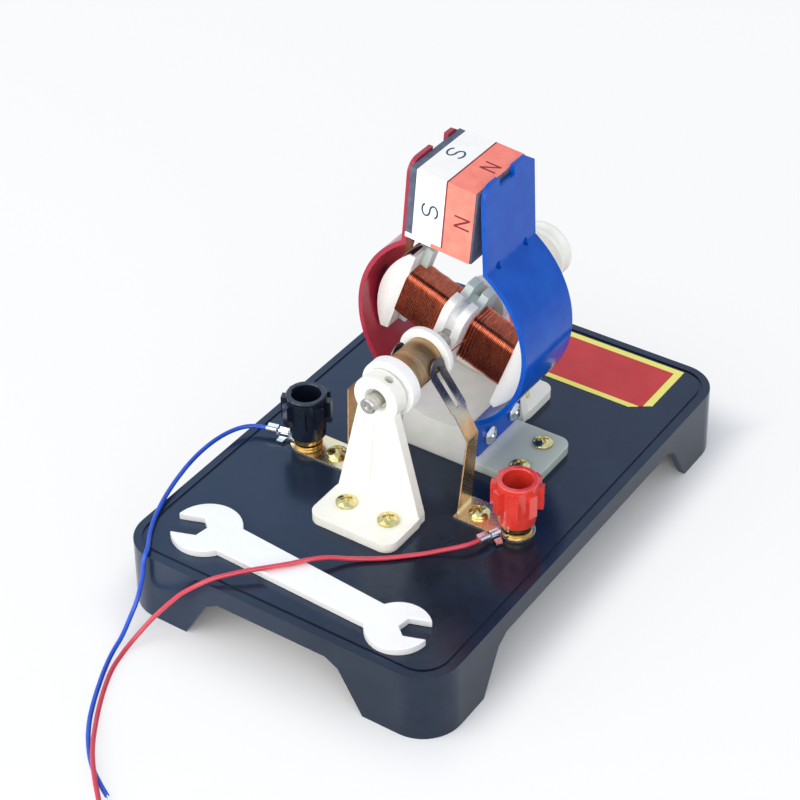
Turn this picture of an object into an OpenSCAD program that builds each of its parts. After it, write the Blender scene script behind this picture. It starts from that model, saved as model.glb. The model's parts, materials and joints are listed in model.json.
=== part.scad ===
// Demonstration direct current motor on a moulded tray, with its spanner and two test leads.
// Origin: centre of the tray's outline on the floor. X across, Y along the shaft, Z up. Millimetres.

/* [Tray] */
// Width of the tray at the floor
base_w = 111; // [106:1:130]
// Length of the tray at the floor
base_l = 166.6; // [160:0.2:200]
// Height of the tray's top face
base_h = 22.5; // [20:0.5:30]
// How far each wall leans in between the floor and the top
base_draft = 0.5; // [0.2:0.1:1]
// Thickness of the side walls
base_wall = 2.4; // [1.8:0.1:3]
// Thickness of the top
base_top = 2.5; // [2:0.1:3.5]
// Radius of the tray's upright corners
base_corner = 12; // [8:0.5:16]
// Distance from the tray's edge to the groove round the top
groove_inset = 2.5; // [2:0.1:4]
// Width of the groove
groove_w = 1; // [0.6:0.1:1.5]
// Depth of the groove
groove_depth = 0.5; // [0.3:0.1:0.8]
// Height of the arches between the feet
arch_h = 16; // [10:0.5:16]
// Width of the end arches at the floor
end_arch_w = 62; // [40:1:66]
// Length of the side arches at the floor
side_arch_l = 118.4; // [80:0.4:124]
// How far each side of an arch leans in
arch_lean = 9.5; // [5:0.5:12]
// Diameter of the screw bosses under the top
boss_d = 7; // [6:0.2:8]
// Length of the screw bosses under the top
boss_l = 5.5; // [4:0.5:6]

/* [Name plate] */
// Width of the plate across the tray
plate_w = 86.6; // [60:0.2:96]
// Distance of the plate's front edge from the rear bracket's foot
plate_gap = 6.3; // [1:0.1:12]
// Thickness of the plate
plate_t = 0.25; // [0.15:0.05:0.5]
// Distance of the plate's rear edge from the tray's rear end
plate_margin = 4.3; // [4.2:0.1:6]
// Size of the corner that is cut off the plate, across and along
plate_clip = [6.2, 4.4];

/* [Bearing brackets] */
// Height of the shaft over the tray's top
shaft_rise = 40.25; // [38:0.25:48]
// Thickness of every screwed-down foot
foot_t = 3; // [2.5:0.1:4]
// Width of a bracket's foot
foot_w = 29.2; // [28.6:0.2:34]
// Reach of a bracket's foot in front of its post
foot_reach = 15.4; // [13:0.2:18]
// Corner radius of the feet
foot_corner = 4; // [2:0.5:5]
// Thickness of a bracket's post
post_t = 3.2; // [2.6:0.1:4]
// Width of the post just over the foot
post_w = 28.4; // [24:0.2:28.4]
// Width that the post's straight sides draw in to at the shaft's height
waist_w = 10.4; // [8:0.2:14]
// Diameter of the bearing boss
bearing_d = 14.6; // [13:0.2:16]
// Length of the bearing boss
bearing_l = 4.8; // [4:0.1:5.5]
// Diameter of the sunk ring round the shaft
sink_d = 6.2; // [5.8:0.1:7.4]
// Depth of the sunk ring
sink_depth = 1.5; // [0.8:0.1:2]
// Width of the recess down the post, at its foot
recess_w = 7; // [3:0.2:8]
// Depth of the recess
recess_depth = 0.6; // [0.4:0.1:1.6]
// Diameter of the oil hole in the bearing boss
oil_hole_d = 2.8; // [1.5:0.1:3]
// Turn of the oil hole from straight up, towards the right
oil_hole_turn = 24; // [0:1:40]
// Outer face of the front post, along Y
front_post_y = -29.5; // [-32:0.1:-29]
// Outer face of the rear post, along Y
rear_post_y = 31.8; // [31.8:0.1:36]
// Distance between a bracket's two screws
bracket_screw_gap = 14.7; // [14:0.1:18]
// Distance of the bracket's screws from its post
bracket_screw_reach = 5.5; // [5:0.1:7]

/* [Stator mount] */
// Width of the mount's foot
mount_w = 66.6; // [64:0.2:72]
// Front and rear ends of the mount's foot, along Y
mount_y = [1.2, 26.1];
// Width of the centre block between the pole plates
block_w = 23.6; // [20:0.2:26]
// Rear end of the centre block, along Y
block_rear_y = 28.1; // [27:0.1:28.1]
// Radius of the hollow over the block, about the shaft
hollow_r = 27.3; // [27:0.1:29]
// Distance across between the mount's screws
mount_screw_across = 52.6; // [48:0.2:56]
// Places of the mount's screws, along Y
mount_screw_y = [6.6, 20.1];

/* [Pole plates and magnet] */
// Thickness of the pole plates
sheet_t = 1.5; // [1:0.1:2]
// Front and rear edges of the pole plates, along Y
sheet_y = [3.9, 30.1];
// Bend radius of the round part, to its inner face
ring_r = 31.1; // [31:0.1:33]
// How far the round part's centre lies past the middle
ring_shift = 3.52; // [2.5:0.02:3.6]
// How far the round part's centre lies over the shaft
ring_lift = 2.6; // [1:0.1:2.8]
// Distance from the middle to the blue plate's upper bend
blue_bend_x = 14.3; // [13.8:0.1:15]
// Distance from the middle to the red plate's upper bend
red_bend_x = 11.8; // [11:0.1:12.5]
// Lean of the red plate's flat top and of the magnet, in degrees
magnet_lean = 5.3; // [0:0.1:7]
// Distance from the red plate's bend to the magnet's lower edge
magnet_seat = 3.7; // [2:0.1:8]
// Magnet: width between the plates, depth along the shaft, height
magnet_size = [22.4, 25.2, 23.6];
// How far the magnet stands out in front of the plates
magnet_proud = 0.9; // [0:0.1:1.5]
// Thickness of the paper on the magnet
paper_t = 0.2; // [0.1:0.05:0.4]
// Bare strip of the magnet beside the white paper
bare_left = 2.4; // [1:0.1:4]
// Bare strip of the magnet beside the orange paper
bare_right = 0.6; // [0.4:0.1:3]
// Place of the seam between the papers, right of the magnet's middle
seam_x = 1.2; // [0:0.1:2]
// Height of the blue and the red plate's tabs over the magnet's edge beside them
tab_rise = [1.6, 0.8];
// Width and depth of the notch between the tabs
notch = [7.8, 2.8];
// Distance of the notch from the plate's middle
notch_shift = 1.5; // [0:0.1:2]
// Radius of the front corner of the tabs
tab_round = 4; // [1:0.5:6]
// Cut of the rear corner of the tabs, along and down
tab_clip = [4.2, 3];
// Height of the pole plates' screws over the mount's foot
pole_screw_rise = 4.5; // [4:0.1:6]
// Places of the pole plates' screws, along Y
pole_screw_y = [10.2, 23.8];
// Height of the step in the plates' rear edge over the mount's foot
relief_rise = 15; // [12.5:0.5:16]
// Diameter of the punched dimples
dimple_d = 2.3; // [1.5:0.1:3]
// Distance between the two dimples
dimple_gap = 14.6; // [10:0.2:18]

/* [Shaft and commutator] */
// Diameter of the shaft
shaft_d = 5; // [4:0.1:5.2]
// Front and rear ends of the shaft, along Y
shaft_y = [-33.8, 66];
// Diameter of the brass shells
shell_d = 12.6; // [11:0.1:13]
// Thickness of the brass shells
shell_t = 0.8; // [0.5:0.1:1.2]
// Slot between the two brass shells
shell_slot = 1.2; // [0.6:0.1:2]
// Front and rear ends of the brass shells, along Y
shell_y = [-19.5, -4.45];
// Diameter of the commutator's flanges
flange_d = 17.6; // [16:0.2:18]
// Thickness of the front flange
front_flange_t = 4; // [2:0.1:4.2]
// Thickness of the rear flange
rear_flange_t = 2.05; // [1.5:0.05:3]
// Diameter of the rear pulley
pulley_d = 18.7; // [16:0.1:22]
// Front and rear faces of the pulley, along Y
pulley_y = [58, 64];
// Depth of the belt groove
belt_depth = 1.3; // [0.8:0.1:2.5]
// Diameter of the pulley's hub
pulley_hub_d = 9; // [8:0.2:12]
// Length of the pulley's hub in front of it
pulley_hub_l = 4; // [2:0.5:10]

/* [Armature] */
// Angle that the pole axis is turned to at rest, right side down
armature_tilt = 20; // [0:1:45]
// Outer radius of the pole shoes
shoe_r = 26.3; // [25:0.1:26.4]
// Half of a shoe's height, across its chord
shoe_half = 15.4; // [12:0.1:16]
// Distance from the shaft to the shoe's inner face
shoe_in = 19.3; // [18:0.1:20.5]
// Front face of the front frame, along Y
frame_front_y = 9.7; // [9:0.1:10]
// Rear face of the rear frame, along Y
frame_rear_y = 20.6; // [20.5:0.1:22]
// Front and rear faces of the iron in the shoes, along Y
iron_y = [10.7, 16.7];
// How far the iron lies inside the shoes' rims and inside their ends
iron_inset = [0.3, 0.5];
// Front face of the iron bar through the coils, along Y
iron_bar_front_y = 12.9; // [12.4:0.1:13.5]
// Height of the iron bar
iron_bar_h = 9.6; // [8:0.2:10]
// Wall of the frame round the iron bar
lining_t = 0.8; // [0.5:0.1:1.2]
// Thickness of the lining between a coil and its shoe
cheek_t = 1.1; // [0.8:0.1:1.5]
// Extra reach of the rear frame's cheeks towards the shaft
rear_cheek_extra = 2.3; // [1:0.1:3]
// Bevel of the front cheeks beside the coils
cheek_bevel = 2.3; // [1:0.1:2.6]
// Height of a coil
coil_h = 16.6; // [14:0.2:18]
// Front and rear faces of a coil, along Y
coil_y = [10.3, 20.4];
// Corner radius of a coil
coil_corner = 2.2; // [1:0.1:2.5]
// Inner flanges of the frame: near and far face from the shaft's middle plane
inner_flange = [1.4, 4];
// Front and rear ends of the inner flanges, along Y
inner_flange_y = [5.5, 24.5];
// Height of the inner flanges
inner_flange_h = 25; // [20:0.5:28]
// Corner radius of the inner flanges and of the web between them
hub_corner = 4; // [3:0.5:5]
// How far the web lies inside the flanges, along the shaft and across
web_inset = [2, 4];
// Radius of the notches in the flanges' edges
hub_notch_r = 2.6; // [1:0.1:3]

/* [Brushes and binding posts] */
// Thickness of the bronze strip
strip_t = 0.5; // [0.3:0.05:0.7]
// Width of the strip's foot
strip_foot_w = 11; // [10:0.2:12]
// Middle of the strip's foot, along Y
strip_foot_y = -15.2; // [-16:0.1:-14.5]
// Distances from the middle to the strips' upright parts at the tray, left and right
strip_root_x = [18.2, 20.3];
// Bends half way up, left and right: distance from the middle and height over the tray
strip_bend = [[22.6, 22.9], [18.8, 21.2]];
// Necks of the strips, left and right: distance from the middle and height over the tray
strip_neck = [[15.4, 31.9], [13.3, 30.8]];
// Length of the strip's tip over the shaft's height
strip_tip_rise = 4; // [3:0.1:5]
// Width of the strip's head
head_w = 7.2; // [6:0.1:7.2]
// Width of the strip's neck
neck_w = 6; // [5:0.1:6.5]
// Width of the slot in the strip's head
head_slot_w = 1.8; // [1:0.1:2.4]
// Length of the slot in the strip's head
head_slot_l = 10.5; // [8:0.5:14]
// Distances from the middle to the brush screws, left and right
brush_screw_x = [24.8, 26];
// Distance from the middle to the red post
red_post_x = 38.7; // [36:0.1:42]
// Distance from the middle to the black post
black_post_x = 35.5; // [35:0.1:42]
// Diameter of the posts' threaded studs
stud_d = 4; // [3:0.1:4.4]
// Height of the caps
cap_h = 15.2; // [14.6:0.1:18]
// Diameter of a cap's body
cap_d = 12; // [11:0.1:13]
// Diameter over a cap's ribs
cap_rib_d = 15.4; // [14:0.1:16]
// Number of ribs on a cap
cap_ribs = 8; // [6:1:10]
// Width of a rib
cap_rib_w = 2.6; // [1.5:0.1:3]
// Height of the ribs
cap_rib_h = 7.5; // [6:0.5:10]
// Distance of the ribs from the cap's top
cap_rib_drop = 1.8; // [1:0.1:3]
// Diameter of the socket in a cap's top
socket_d = 8.9; // [8:0.1:9.4]
// Depth of the socket
socket_depth = 7.8; // [5:0.1:8]
// Thickness of a cap's floor under its socket
cap_floor_t = 1; // [0.8:0.1:1.5]
// Gap between a stud's end and its cap's floor
stud_end_gap = 0.6; // [0.4:0.1:1]
// Width over the corners and height of the studs' nuts
stud_nut = [7.6, 2.4];
// Thickness of the washers under the lugs
washer_t = 1; // [0.6:0.1:1.4]
// Thickness of the washers between the lugs and the caps
cap_washer_t = 1.8; // [1:0.1:2.4]
// Diameter of the washers
washer_d = 9; // [8:0.2:10]

/* [Screws] */
// Thread diameter of the small screws
screw_d = 3; // [2.5:0.1:3]
// Head diameter of the yellow screws
screw_head_d = 6.4; // [5.6:0.1:6.6]
// Head height of all the screws
screw_head_h = 2; // [1.6:0.1:2.4]
// Length of the yellow screws under the head
screw_l = 8; // [7:0.5:8]
// Head diameter of the pole plates' screws
pole_screw_head_d = 5.8; // [5:0.1:6]
// Length of the pole plates' screws under the head
pole_screw_l = 7; // [5:0.5:9]

/* [Leads] */
// Outer diameter of a lead
lead_d = 1.4; // [1:0.1:1.4]
// Thickness of a lug
lug_t = 0.6; // [0.4:0.1:0.8]
// Diameter of a lug's ring
lug_ring_d = 7.4; // [6.5:0.1:8]
// Outer diameter of a lug's crimped barrel
barrel_d = 2.6; // [2.4:0.1:2.8]
// Length of the crimped barrel
barrel_l = 6.5; // [5:0.5:8]

/* [Spanner] */
// Distance between the centres of its two heads
spanner_l = 69.4; // [66:0.2:70]
// Thickness of the spanner
spanner_t = 2.4; // [2:0.1:2.4]
// Diameter of its large and small heads
spanner_head_d = [21.2, 19];
// Width of its large and small jaws
spanner_jaw = [8, 7.2];
// Width of the shank at the large and small heads
spanner_shank_w = [11.8, 9];
// Distance of each jaw's seat from its head's centre
jaw_offset = 4.35; // [4:0.05:5]
// Angle of the jaws to the shank
jaw_angle = 23; // [15:1:25]
// Centre of the large head on the tray
spanner_at = [-35.4, -65.3];
// Turn of the spanner on the tray, in degrees
spanner_turn = -3.3; // [-3.6:0.1:-3]

/* [Hidden] */
$fn = 64;
// Running gap between the shaft or a stud and its bore, on the radius
run_gap = 0.05;
// Gap of a pushed-on fit and of a hole that only lets its screw through, on the radius
seat_gap = 0.02;
screw_gap = 0.15;
// Gap on each side of the magnet
magnet_gap = 0.1;
// Gap between the brushes and the commutator
brush_gap = 0.3;
// Overrun of every cut past the face that it opens
cut = 0.1;

axis_z = base_h + shaft_rise;
foot_top = base_h + foot_t;
strip_top = base_h + strip_t;
lug_z = strip_top + washer_t;
cap_z = lug_z + lug_t + cap_washer_t;
cap_top = cap_z + cap_h;
bracket_screw_y = [front_post_y - bracket_screw_reach, rear_post_y + bracket_screw_reach];
pole_screw_z = foot_top + pole_screw_rise;
block_half = block_w / 2;
sheet_mid_y = (sheet_y[0] + sheet_y[1]) / 2;
magnet_mid_y = sheet_y[0] - magnet_proud + magnet_size[1] / 2;
// The plates' rear edge steps in here to pass the rear bracket
relief_z = foot_top + relief_rise;
ring_z = axis_z + ring_lift;
bar_y = [iron_bar_front_y, iron_y[1]];
bar_mid_y = (bar_y[0] + bar_y[1]) / 2;
lug_reach = 9.5;
blue_lug_turn = 194;
red_lug_turn = 247;

// Hand-laid route of each lead, from its lug over the tray's edge to its bare end on the floor
blue_route = [
    [-47.6, -18.2, 24.9], [-50.6, -19, 24.9], [-53.3, -20.6, 25], [-55.4, -23.2, 25.1],
    [-56.9, -26.8, 25.2], [-57.9, -31.4, 25.2], [-58.3, -37, 25.1], [-58.1, -43, 24.9],
    [-57.2, -50, 24.5], [-55.8, -57, 24], [-54, -63.4, 23.5], [-51.6, -69.5, 23.3],
    [-48.6, -75.2, 23.3], [-46.3, -78.5, 23.7], [-44.5, -81.2, 24], [-43.8, -83.2, 23.2],
    [-43.6, -84.4, 21.4], [-43.8, -85, 17.6], [-44.6, -85.7, 12.8], [-45, -87.6, 8.2],
    [-44.8, -91.4, 4.6], [-43.8, -96.4, 2.1], [-42.7, -102, 0.9], [-40.6, -107.6, 0.75],
    [-37.4, -114.4, 0.75], [-33.9, -121, 0.75], [-29.6, -127.8, 0.75], [-24.4, -134, 0.75],
    [-18.6, -139.2, 0.75], [-12.8, -142.8, 0.75], [-8.6, -145, 0.75]];
red_route = [
    [33.8, -26.7, 24.9], [32.6, -29.5, 24.9], [31.2, -31.6, 24.8], [29.4, -33.4, 24.5],
    [26.8, -35.6, 24], [23.4, -38.6, 23.4], [19.2, -42.6, 23.3], [14.8, -46.6, 23.3],
    [10.4, -50, 23.4], [6, -53.4, 23.9], [2.2, -57, 25.1], [-1.4, -61.2, 25.8],
    [-4.8, -65.4, 25.8], [-8.8, -69.8, 25.8], [-13.2, -74.2, 25.6], [-17.6, -78.4, 24.9],
    [-21, -81.8, 24.1], [-23.4, -84, 22.8], [-26.1, -85.2, 20.6], [-29, -85.8, 17.8],
    [-32, -86.7, 14.2], [-34.8, -88.1, 10.6], [-37.4, -90.4, 7], [-39.2, -93.4, 3.9],
    [-40.2, -97.2, 1.6], [-39.8, -102, 0.8], [-38.4, -107.4, 0.75], [-35.4, -114.2, 0.75],
    [-31.8, -120.8, 0.8], [-27.4, -127.6, 1.3], [-22.4, -134.4, 2.3], [-18.4, -139, 2.5],
    [-14.4, -143, 2.1], [-10.6, -146.4, 1.2], [-7.4, -149.2, 0.75]];

// Extrudes an outline drawn in X and Z along Y, between two places
module along_y(y0, y1) {
    translate([0, y1, 0]) rotate([90, 0, 0]) linear_extrude(y1 - y0) children();
}

// Extrudes an outline drawn in Y and Z along X, between two places
module along_x(x0, x1) {
    translate([x0, 0, 0]) rotate([90, 0, 90]) linear_extrude(x1 - x0) children();
}

// Round bar on the shaft's axis
module axis_bar(y0, y1, r) {
    along_y(y0, y1) translate([0, axis_z]) circle(r);
}

// Rectangle with round corners, given by its size and centred
module round_rect(size, r) {
    for (sx = [-1, 1], sy = [-1, 1])
        translate([sx * (size[0] / 2 - r), sy * (size[1] / 2 - r)]) circle(r);
    square([size[0], size[1] - 2 * r], center = true);
    square([size[0] - 2 * r, size[1]], center = true);
}

// Pan-head screw along -Z with its head's underside at the origin
module pan_screw(head_d, length) {
    dome_h = 0.6 * screw_head_h;
    dome_r = (head_d * head_d / 4 + dome_h * dome_h) / (2 * dome_h);
    cross = [0.55 * head_d, 0.15 * head_d];
    difference() {
        intersection() {
            cylinder(h = screw_head_h, d = head_d);
            translate([0, 0, screw_head_h - dome_r]) sphere(dome_r);
        }
        for (turn = [45, 135])
            translate([0, 0, screw_head_h]) rotate(turn)
                cube([cross[0], cross[1], screw_head_h], center = true);
    }
    translate([0, 0, -length]) cylinder(h = length + cut, d = screw_d);
}

// Size of the tray's outline at a height, less an inset all round
function tray_size(z, inset) = [
    base_w - 2 * base_draft * z / base_h - 2 * inset,
    base_l - 2 * base_draft * z / base_h - 2 * inset];

// Radius of the outline's corners at a height
function tray_corner(z, inset) = base_corner + base_draft * (1 - z / base_h) - inset;

// Upright section of the tray, half as wide as given at its low and high ends
module tray_section(low, high, z0, z1) {
    polygon([[-low, z0], [low, z0], [high, z1], [-high, z1]]);
}

// Drafted block of the tray's outline between two heights
module tray_block(z0, z1, inset) {
    low = tray_size(z0, inset) / 2;
    high = tray_size(z1, inset) / 2;
    r0 = tray_corner(z0, inset);
    r1 = tray_corner(z1, inset);
    along_y(r0 - low[1], low[1] - r0) tray_section(low[0], high[0], z0, z1);
    along_x(r0 - low[0], low[0] - r0) tray_section(low[1], high[1], z0, z1);
    for (sx = [-1, 1], sy = [-1, 1])
        translate([sx * (low[0] - r0), sy * (low[1] - r0), z0])
            cylinder(h = z1 - z0, r1 = r0, r2 = r1);
}

// Arch with leaning sides and cut corners, drawn upright
module arch(width) {
    half = width / 2;
    polygon([
        [-half, -cut], [half, -cut], [half, 0],
        [half - 0.45 * arch_lean, 0.45 * arch_h],
        [half - 0.85 * arch_lean, 0.85 * arch_h],
        [half - 1.3 * arch_lean, arch_h],
        [1.3 * arch_lean - half, arch_h],
        [0.85 * arch_lean - half, 0.85 * arch_h],
        [0.45 * arch_lean - half, 0.45 * arch_h],
        [-half, 0]]);
}

// Places of the screws that go down into the tray
function tray_screws() = concat(
    [for (side = [-1, 1], y = bracket_screw_y) [side * bracket_screw_gap / 2, y]],
    [for (side = [-1, 1], y = mount_screw_y) [side * mount_screw_across / 2, y]],
    [for (x = [-brush_screw_x[0], brush_screw_x[1]]) [x, strip_foot_y]]);

function post_places() = [[red_post_x, strip_foot_y], [-black_post_x, strip_foot_y]];

module base_tray() {
    color([0.06, 0.065, 0.075]) difference() {
        union() {
            difference() {
                tray_block(0, base_h, 0);
                tray_block(-cut, base_h - base_top, base_wall);
                along_y(-base_l, base_l) arch(end_arch_w);
                along_x(-base_w, base_w) arch(side_arch_l);
            }
            for (at = tray_screws())
                translate([at[0], at[1], base_h - base_top - boss_l])
                    cylinder(h = boss_l + cut, d = boss_d);
        }
        translate([0, 0, base_h - groove_depth]) linear_extrude(groove_depth + cut) difference() {
            round_rect(tray_size(base_h, groove_inset), base_corner - groove_inset);
            round_rect(tray_size(base_h, groove_inset + groove_w),
                base_corner - groove_inset - groove_w);
        }
        for (at = tray_screws())
            translate([at[0], at[1], base_h - base_top - boss_l - cut])
                cylinder(h = base_top + boss_l + 2 * cut, d = screw_d + 2 * seat_gap);
        for (at = post_places())
            translate([at[0], at[1], base_h - base_top - cut])
                cylinder(h = base_top + 2 * cut, d = stud_d + 2 * screw_gap);
    }
}

module name_plate() {
    rear = tray_size(base_h, 0)[1] / 2 - plate_margin;
    front = rear_post_y + foot_reach + plate_gap;
    half = plate_w / 2;
    color([0.78, 0.12, 0.12]) translate([0, 0, base_h]) linear_extrude(plate_t)
        polygon([[-half, front], [half - plate_clip[0], front], [half, front + plate_clip[1]],
            [half, rear], [-half, rear]]);
}

// Bracket with its post's outer face at Y = 0 and its foot reaching towards -Y
module bearing_bracket() {
    difference() {
        union() {
            translate([0, (post_t - foot_reach) / 2, base_h]) linear_extrude(foot_t)
                round_rect([foot_w, foot_reach + post_t], foot_corner);
            translate([0, post_t / 2, base_h]) linear_extrude(foot_t)
                square([post_w, post_t], center = true);
            along_y(0, post_t) polygon([
                [-post_w / 2, foot_top - cut], [post_w / 2, foot_top - cut],
                [waist_w / 2, axis_z], [-waist_w / 2, axis_z]]);
            axis_bar(0, bearing_l, bearing_d / 2);
        }
        along_y(-cut, recess_depth) polygon([
            [-recess_w / 2, foot_top], [recess_w / 2, foot_top],
            [0.15 * recess_w, axis_z - 0.6 * bearing_d],
            [-0.15 * recess_w, axis_z - 0.6 * bearing_d]]);
        axis_bar(-cut, bearing_l + cut, shaft_d / 2 + run_gap);
        axis_bar(-cut, sink_depth, sink_d / 2);
        translate([0, bearing_l - 1.9, axis_z]) rotate([0, oil_hole_turn, 0])
            cylinder(h = bearing_d, d = oil_hole_d);
        translate([0, -cut, axis_z]) rotate([-90, 0, 0])
            cylinder(h = sink_depth / 2 + cut, r1 = sink_d / 2 + sink_depth / 2, r2 = sink_d / 2);
        for (side = [-1, 1])
            translate([side * bracket_screw_gap / 2, -bracket_screw_reach, base_h - cut])
                cylinder(h = foot_t + 2 * cut, d = screw_d + 2 * screw_gap);
    }
}

module front_bracket() {
    color([0.93, 0.92, 0.84]) translate([0, front_post_y, 0]) bearing_bracket();
}

module rear_bracket() {
    color([0.93, 0.92, 0.84]) translate([0, rear_post_y, 0]) mirror([0, 1, 0]) bearing_bracket();
}

module bracket_screws() {
    color([0.78, 0.72, 0.45]) for (side = [-1, 1], y = bracket_screw_y)
        translate([side * bracket_screw_gap / 2, y, foot_top]) pan_screw(screw_head_d, screw_l);
}

module stator_mount() {
    color([0.88, 0.89, 0.84]) difference() {
        union() {
            translate([0, (mount_y[0] + mount_y[1]) / 2, base_h]) linear_extrude(foot_t)
                round_rect([mount_w, mount_y[1] - mount_y[0]], foot_corner);
            translate([-block_half, mount_y[0], base_h])
                cube([block_w, block_rear_y - mount_y[0], axis_z - hollow_r / 2 - base_h]);
        }
        axis_bar(mount_y[0] - cut, block_rear_y + cut, hollow_r);
        for (side = [-1, 1], y = mount_screw_y)
            translate([side * mount_screw_across / 2, y, base_h - cut])
                cylinder(h = foot_t + 2 * cut, d = screw_d + 2 * screw_gap);
        for (side = [-1, 1], y = pole_screw_y)
            translate([side * (block_half + cut), y, pole_screw_z]) rotate([0, -side * 90, 0])
                cylinder(h = pole_screw_l - sheet_t + 2 * cut, d = screw_d + 2 * seat_gap);
    }
}

module mount_screws() {
    color([0.78, 0.72, 0.45]) for (side = [-1, 1], y = mount_screw_y)
        translate([side * mount_screw_across / 2, y, foot_top]) pan_screw(screw_head_d, screw_l);
}

// Height where the round part's inner face meets a distance from the middle
function ring_meets(x, up) = ring_z + up * sqrt(pow(ring_r, 2) - pow(x + ring_shift, 2));

red_bend = [-red_bend_x, ring_meets(red_bend_x, 1)];
blue_bend = [blue_bend_x, ring_meets(blue_bend_x, 1)];
// Along and square to the red plate's flat top
lean_up = [sin(magnet_lean), cos(magnet_lean)];
lean_out = [cos(magnet_lean), -sin(magnet_lean)];
magnet_low = red_bend + magnet_seat * lean_up + magnet_gap * lean_out;
magnet_top_left = magnet_low + magnet_size[2] * lean_up;
magnet_top_right = magnet_top_left + magnet_size[0] * lean_out;
magnet_mid = magnet_low + magnet_size[0] / 2 * lean_out + magnet_size[2] / 2 * lean_up;
// The blue plate leans until it touches the magnet's upper edge
blue_lean = atan((blue_bend[0] - magnet_top_right[0] - magnet_gap)
    / (magnet_top_right[1] - blue_bend[1]));

// Pole plate on the +X side, seen along the shaft: flange, round part and flat top
module pole_section(bend_x, lean, top_z) {
    bend = [bend_x, ring_meets(bend_x, 1)];
    mitre = (atan2(bend[1] - ring_z, bend_x + ring_shift) + lean) / 2;
    rise = (top_z - bend[1]) / cos(lean);
    up = [-sin(lean), cos(lean)];
    out = [cos(lean), sin(lean)];
    reach = 2 * ring_r;
    translate([block_half, foot_top]) square([sheet_t, ring_meets(block_half, -1) - sheet_t / 2 - foot_top]);
    intersection() {
        translate([-ring_shift, ring_z]) difference() {
            circle(ring_r + sheet_t, $fn = 128);
            circle(ring_r, $fn = 128);
        }
        polygon([[block_half, foot_top], [reach, foot_top],
            bend + reach * [cos(mitre), sin(mitre)], bend, [block_half, ring_z]]);
    }
    polygon([bend, bend + sheet_t * out - sheet_t / 3 * up,
        bend + sheet_t * out + rise * up, bend + rise * up]);
}

// Face of a pole plate: tabs and notch on top, stepped rear edge below
module pole_face(top_z, notch_y) {
    polygon(concat([
        [sheet_y[0], base_h], [block_rear_y, base_h], [block_rear_y, relief_z - 2],
        [sheet_y[1], relief_z], [sheet_y[1], top_z - tab_clip[1]],
        [sheet_y[1] - tab_clip[0], top_z],
        [notch_y + notch[0] / 2, top_z], [notch_y + notch[0] / 2, top_z - notch[1]],
        [notch_y - notch[0] / 2, top_z - notch[1]], [notch_y - notch[0] / 2, top_z]],
        [for (a = [90:-15:0]) [
            sheet_y[0] + tab_round * (1 - cos(a)),
            top_z - tab_round * (1 - sin(a))]]));
}

// Pole plate on the +X side with its screw holes and dimples
module pole_plate(bend_x, lean, top_z, notch_y) {
    difference() {
        intersection() {
            along_y(sheet_y[0], sheet_y[1]) pole_section(bend_x, lean, top_z);
            along_x(0, 2 * ring_r) pole_face(top_z, notch_y);
        }
        for (y = pole_screw_y)
            translate([block_half - cut, y, pole_screw_z]) rotate([0, 90, 0])
                cylinder(h = sheet_t + 2 * cut, d = screw_d + 2 * screw_gap);
        for (side = [-1, 1])
            translate([bend_x + sheet_t / 2, sheet_mid_y + side * dimple_gap / 2,
                ring_meets(bend_x, 1) + dimple_d / 2]) rotate([0, 90, 0])
                cylinder(h = sheet_t, d = dimple_d);
    }
}

module blue_pole_plate() {
    color([0.03, 0.25, 0.7]) pole_plate(blue_bend_x, blue_lean,
        magnet_top_right[1] + tab_rise[0], sheet_mid_y - notch_shift);
}

module red_pole_plate() {
    color([0.7, 0.1, 0.16]) mirror([1, 0, 0]) pole_plate(red_bend_x, magnet_lean,
        magnet_top_left[1] + tab_rise[1], sheet_mid_y + notch_shift);
}

module pole_screws() {
    color([0.8, 0.8, 0.82]) for (side = [-1, 1], y = pole_screw_y)
        translate([side * (block_half + sheet_t), y, pole_screw_z]) rotate([0, side * 90, 0])
            pan_screw(pole_screw_head_d, pole_screw_l);
}

// Puts things in the magnet's own frame, centred on it and leaning with it
module at_magnet() {
    translate([magnet_mid[0], magnet_mid_y, magnet_mid[1]]) rotate([0, magnet_lean, 0]) children();
}

module magnet() {
    color([0.2, 0.2, 0.21]) at_magnet() cube(magnet_size, center = true);
}

// Paper folded over the magnet's front, top and rear, between two places across it
module paper(x0, x1, drop) {
    half = magnet_size / 2;
    at_magnet() difference() {
        translate([x0, -half[1] - paper_t, drop - half[2]])
            cube([x1 - x0, magnet_size[1] + 2 * paper_t, magnet_size[2] - drop + paper_t]);
        translate([x0 - cut, -half[1], -half[2] - cut])
            cube([x1 - x0 + 2 * cut, magnet_size[1], magnet_size[2] + cut]);
    }
}

module south_paper() {
    color([0.97, 0.97, 0.97]) paper(bare_left - magnet_size[0] / 2, seam_x, 1.4);
}

module north_paper() {
    color([0.95, 0.45, 0.33]) paper(seam_x, magnet_size[0] / 2 - bare_right, 0);
}

module shaft() {
    bevel = 0.4;
    length = shaft_y[1] - shaft_y[0];
    color([0.72, 0.7, 0.66]) translate([0, shaft_y[0], axis_z]) rotate([-90, 0, 0]) difference() {
        rotate_extrude() polygon([[0, 0], [shaft_d / 2 - bevel, 0], [shaft_d / 2, bevel],
            [shaft_d / 2, length - bevel], [shaft_d / 2 - bevel, length], [0, length]]);
        translate([0, 0, -cut]) cylinder(h = 3 * bevel, r1 = 2 * bevel, r2 = 0.2 * bevel);
    }
}

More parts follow.
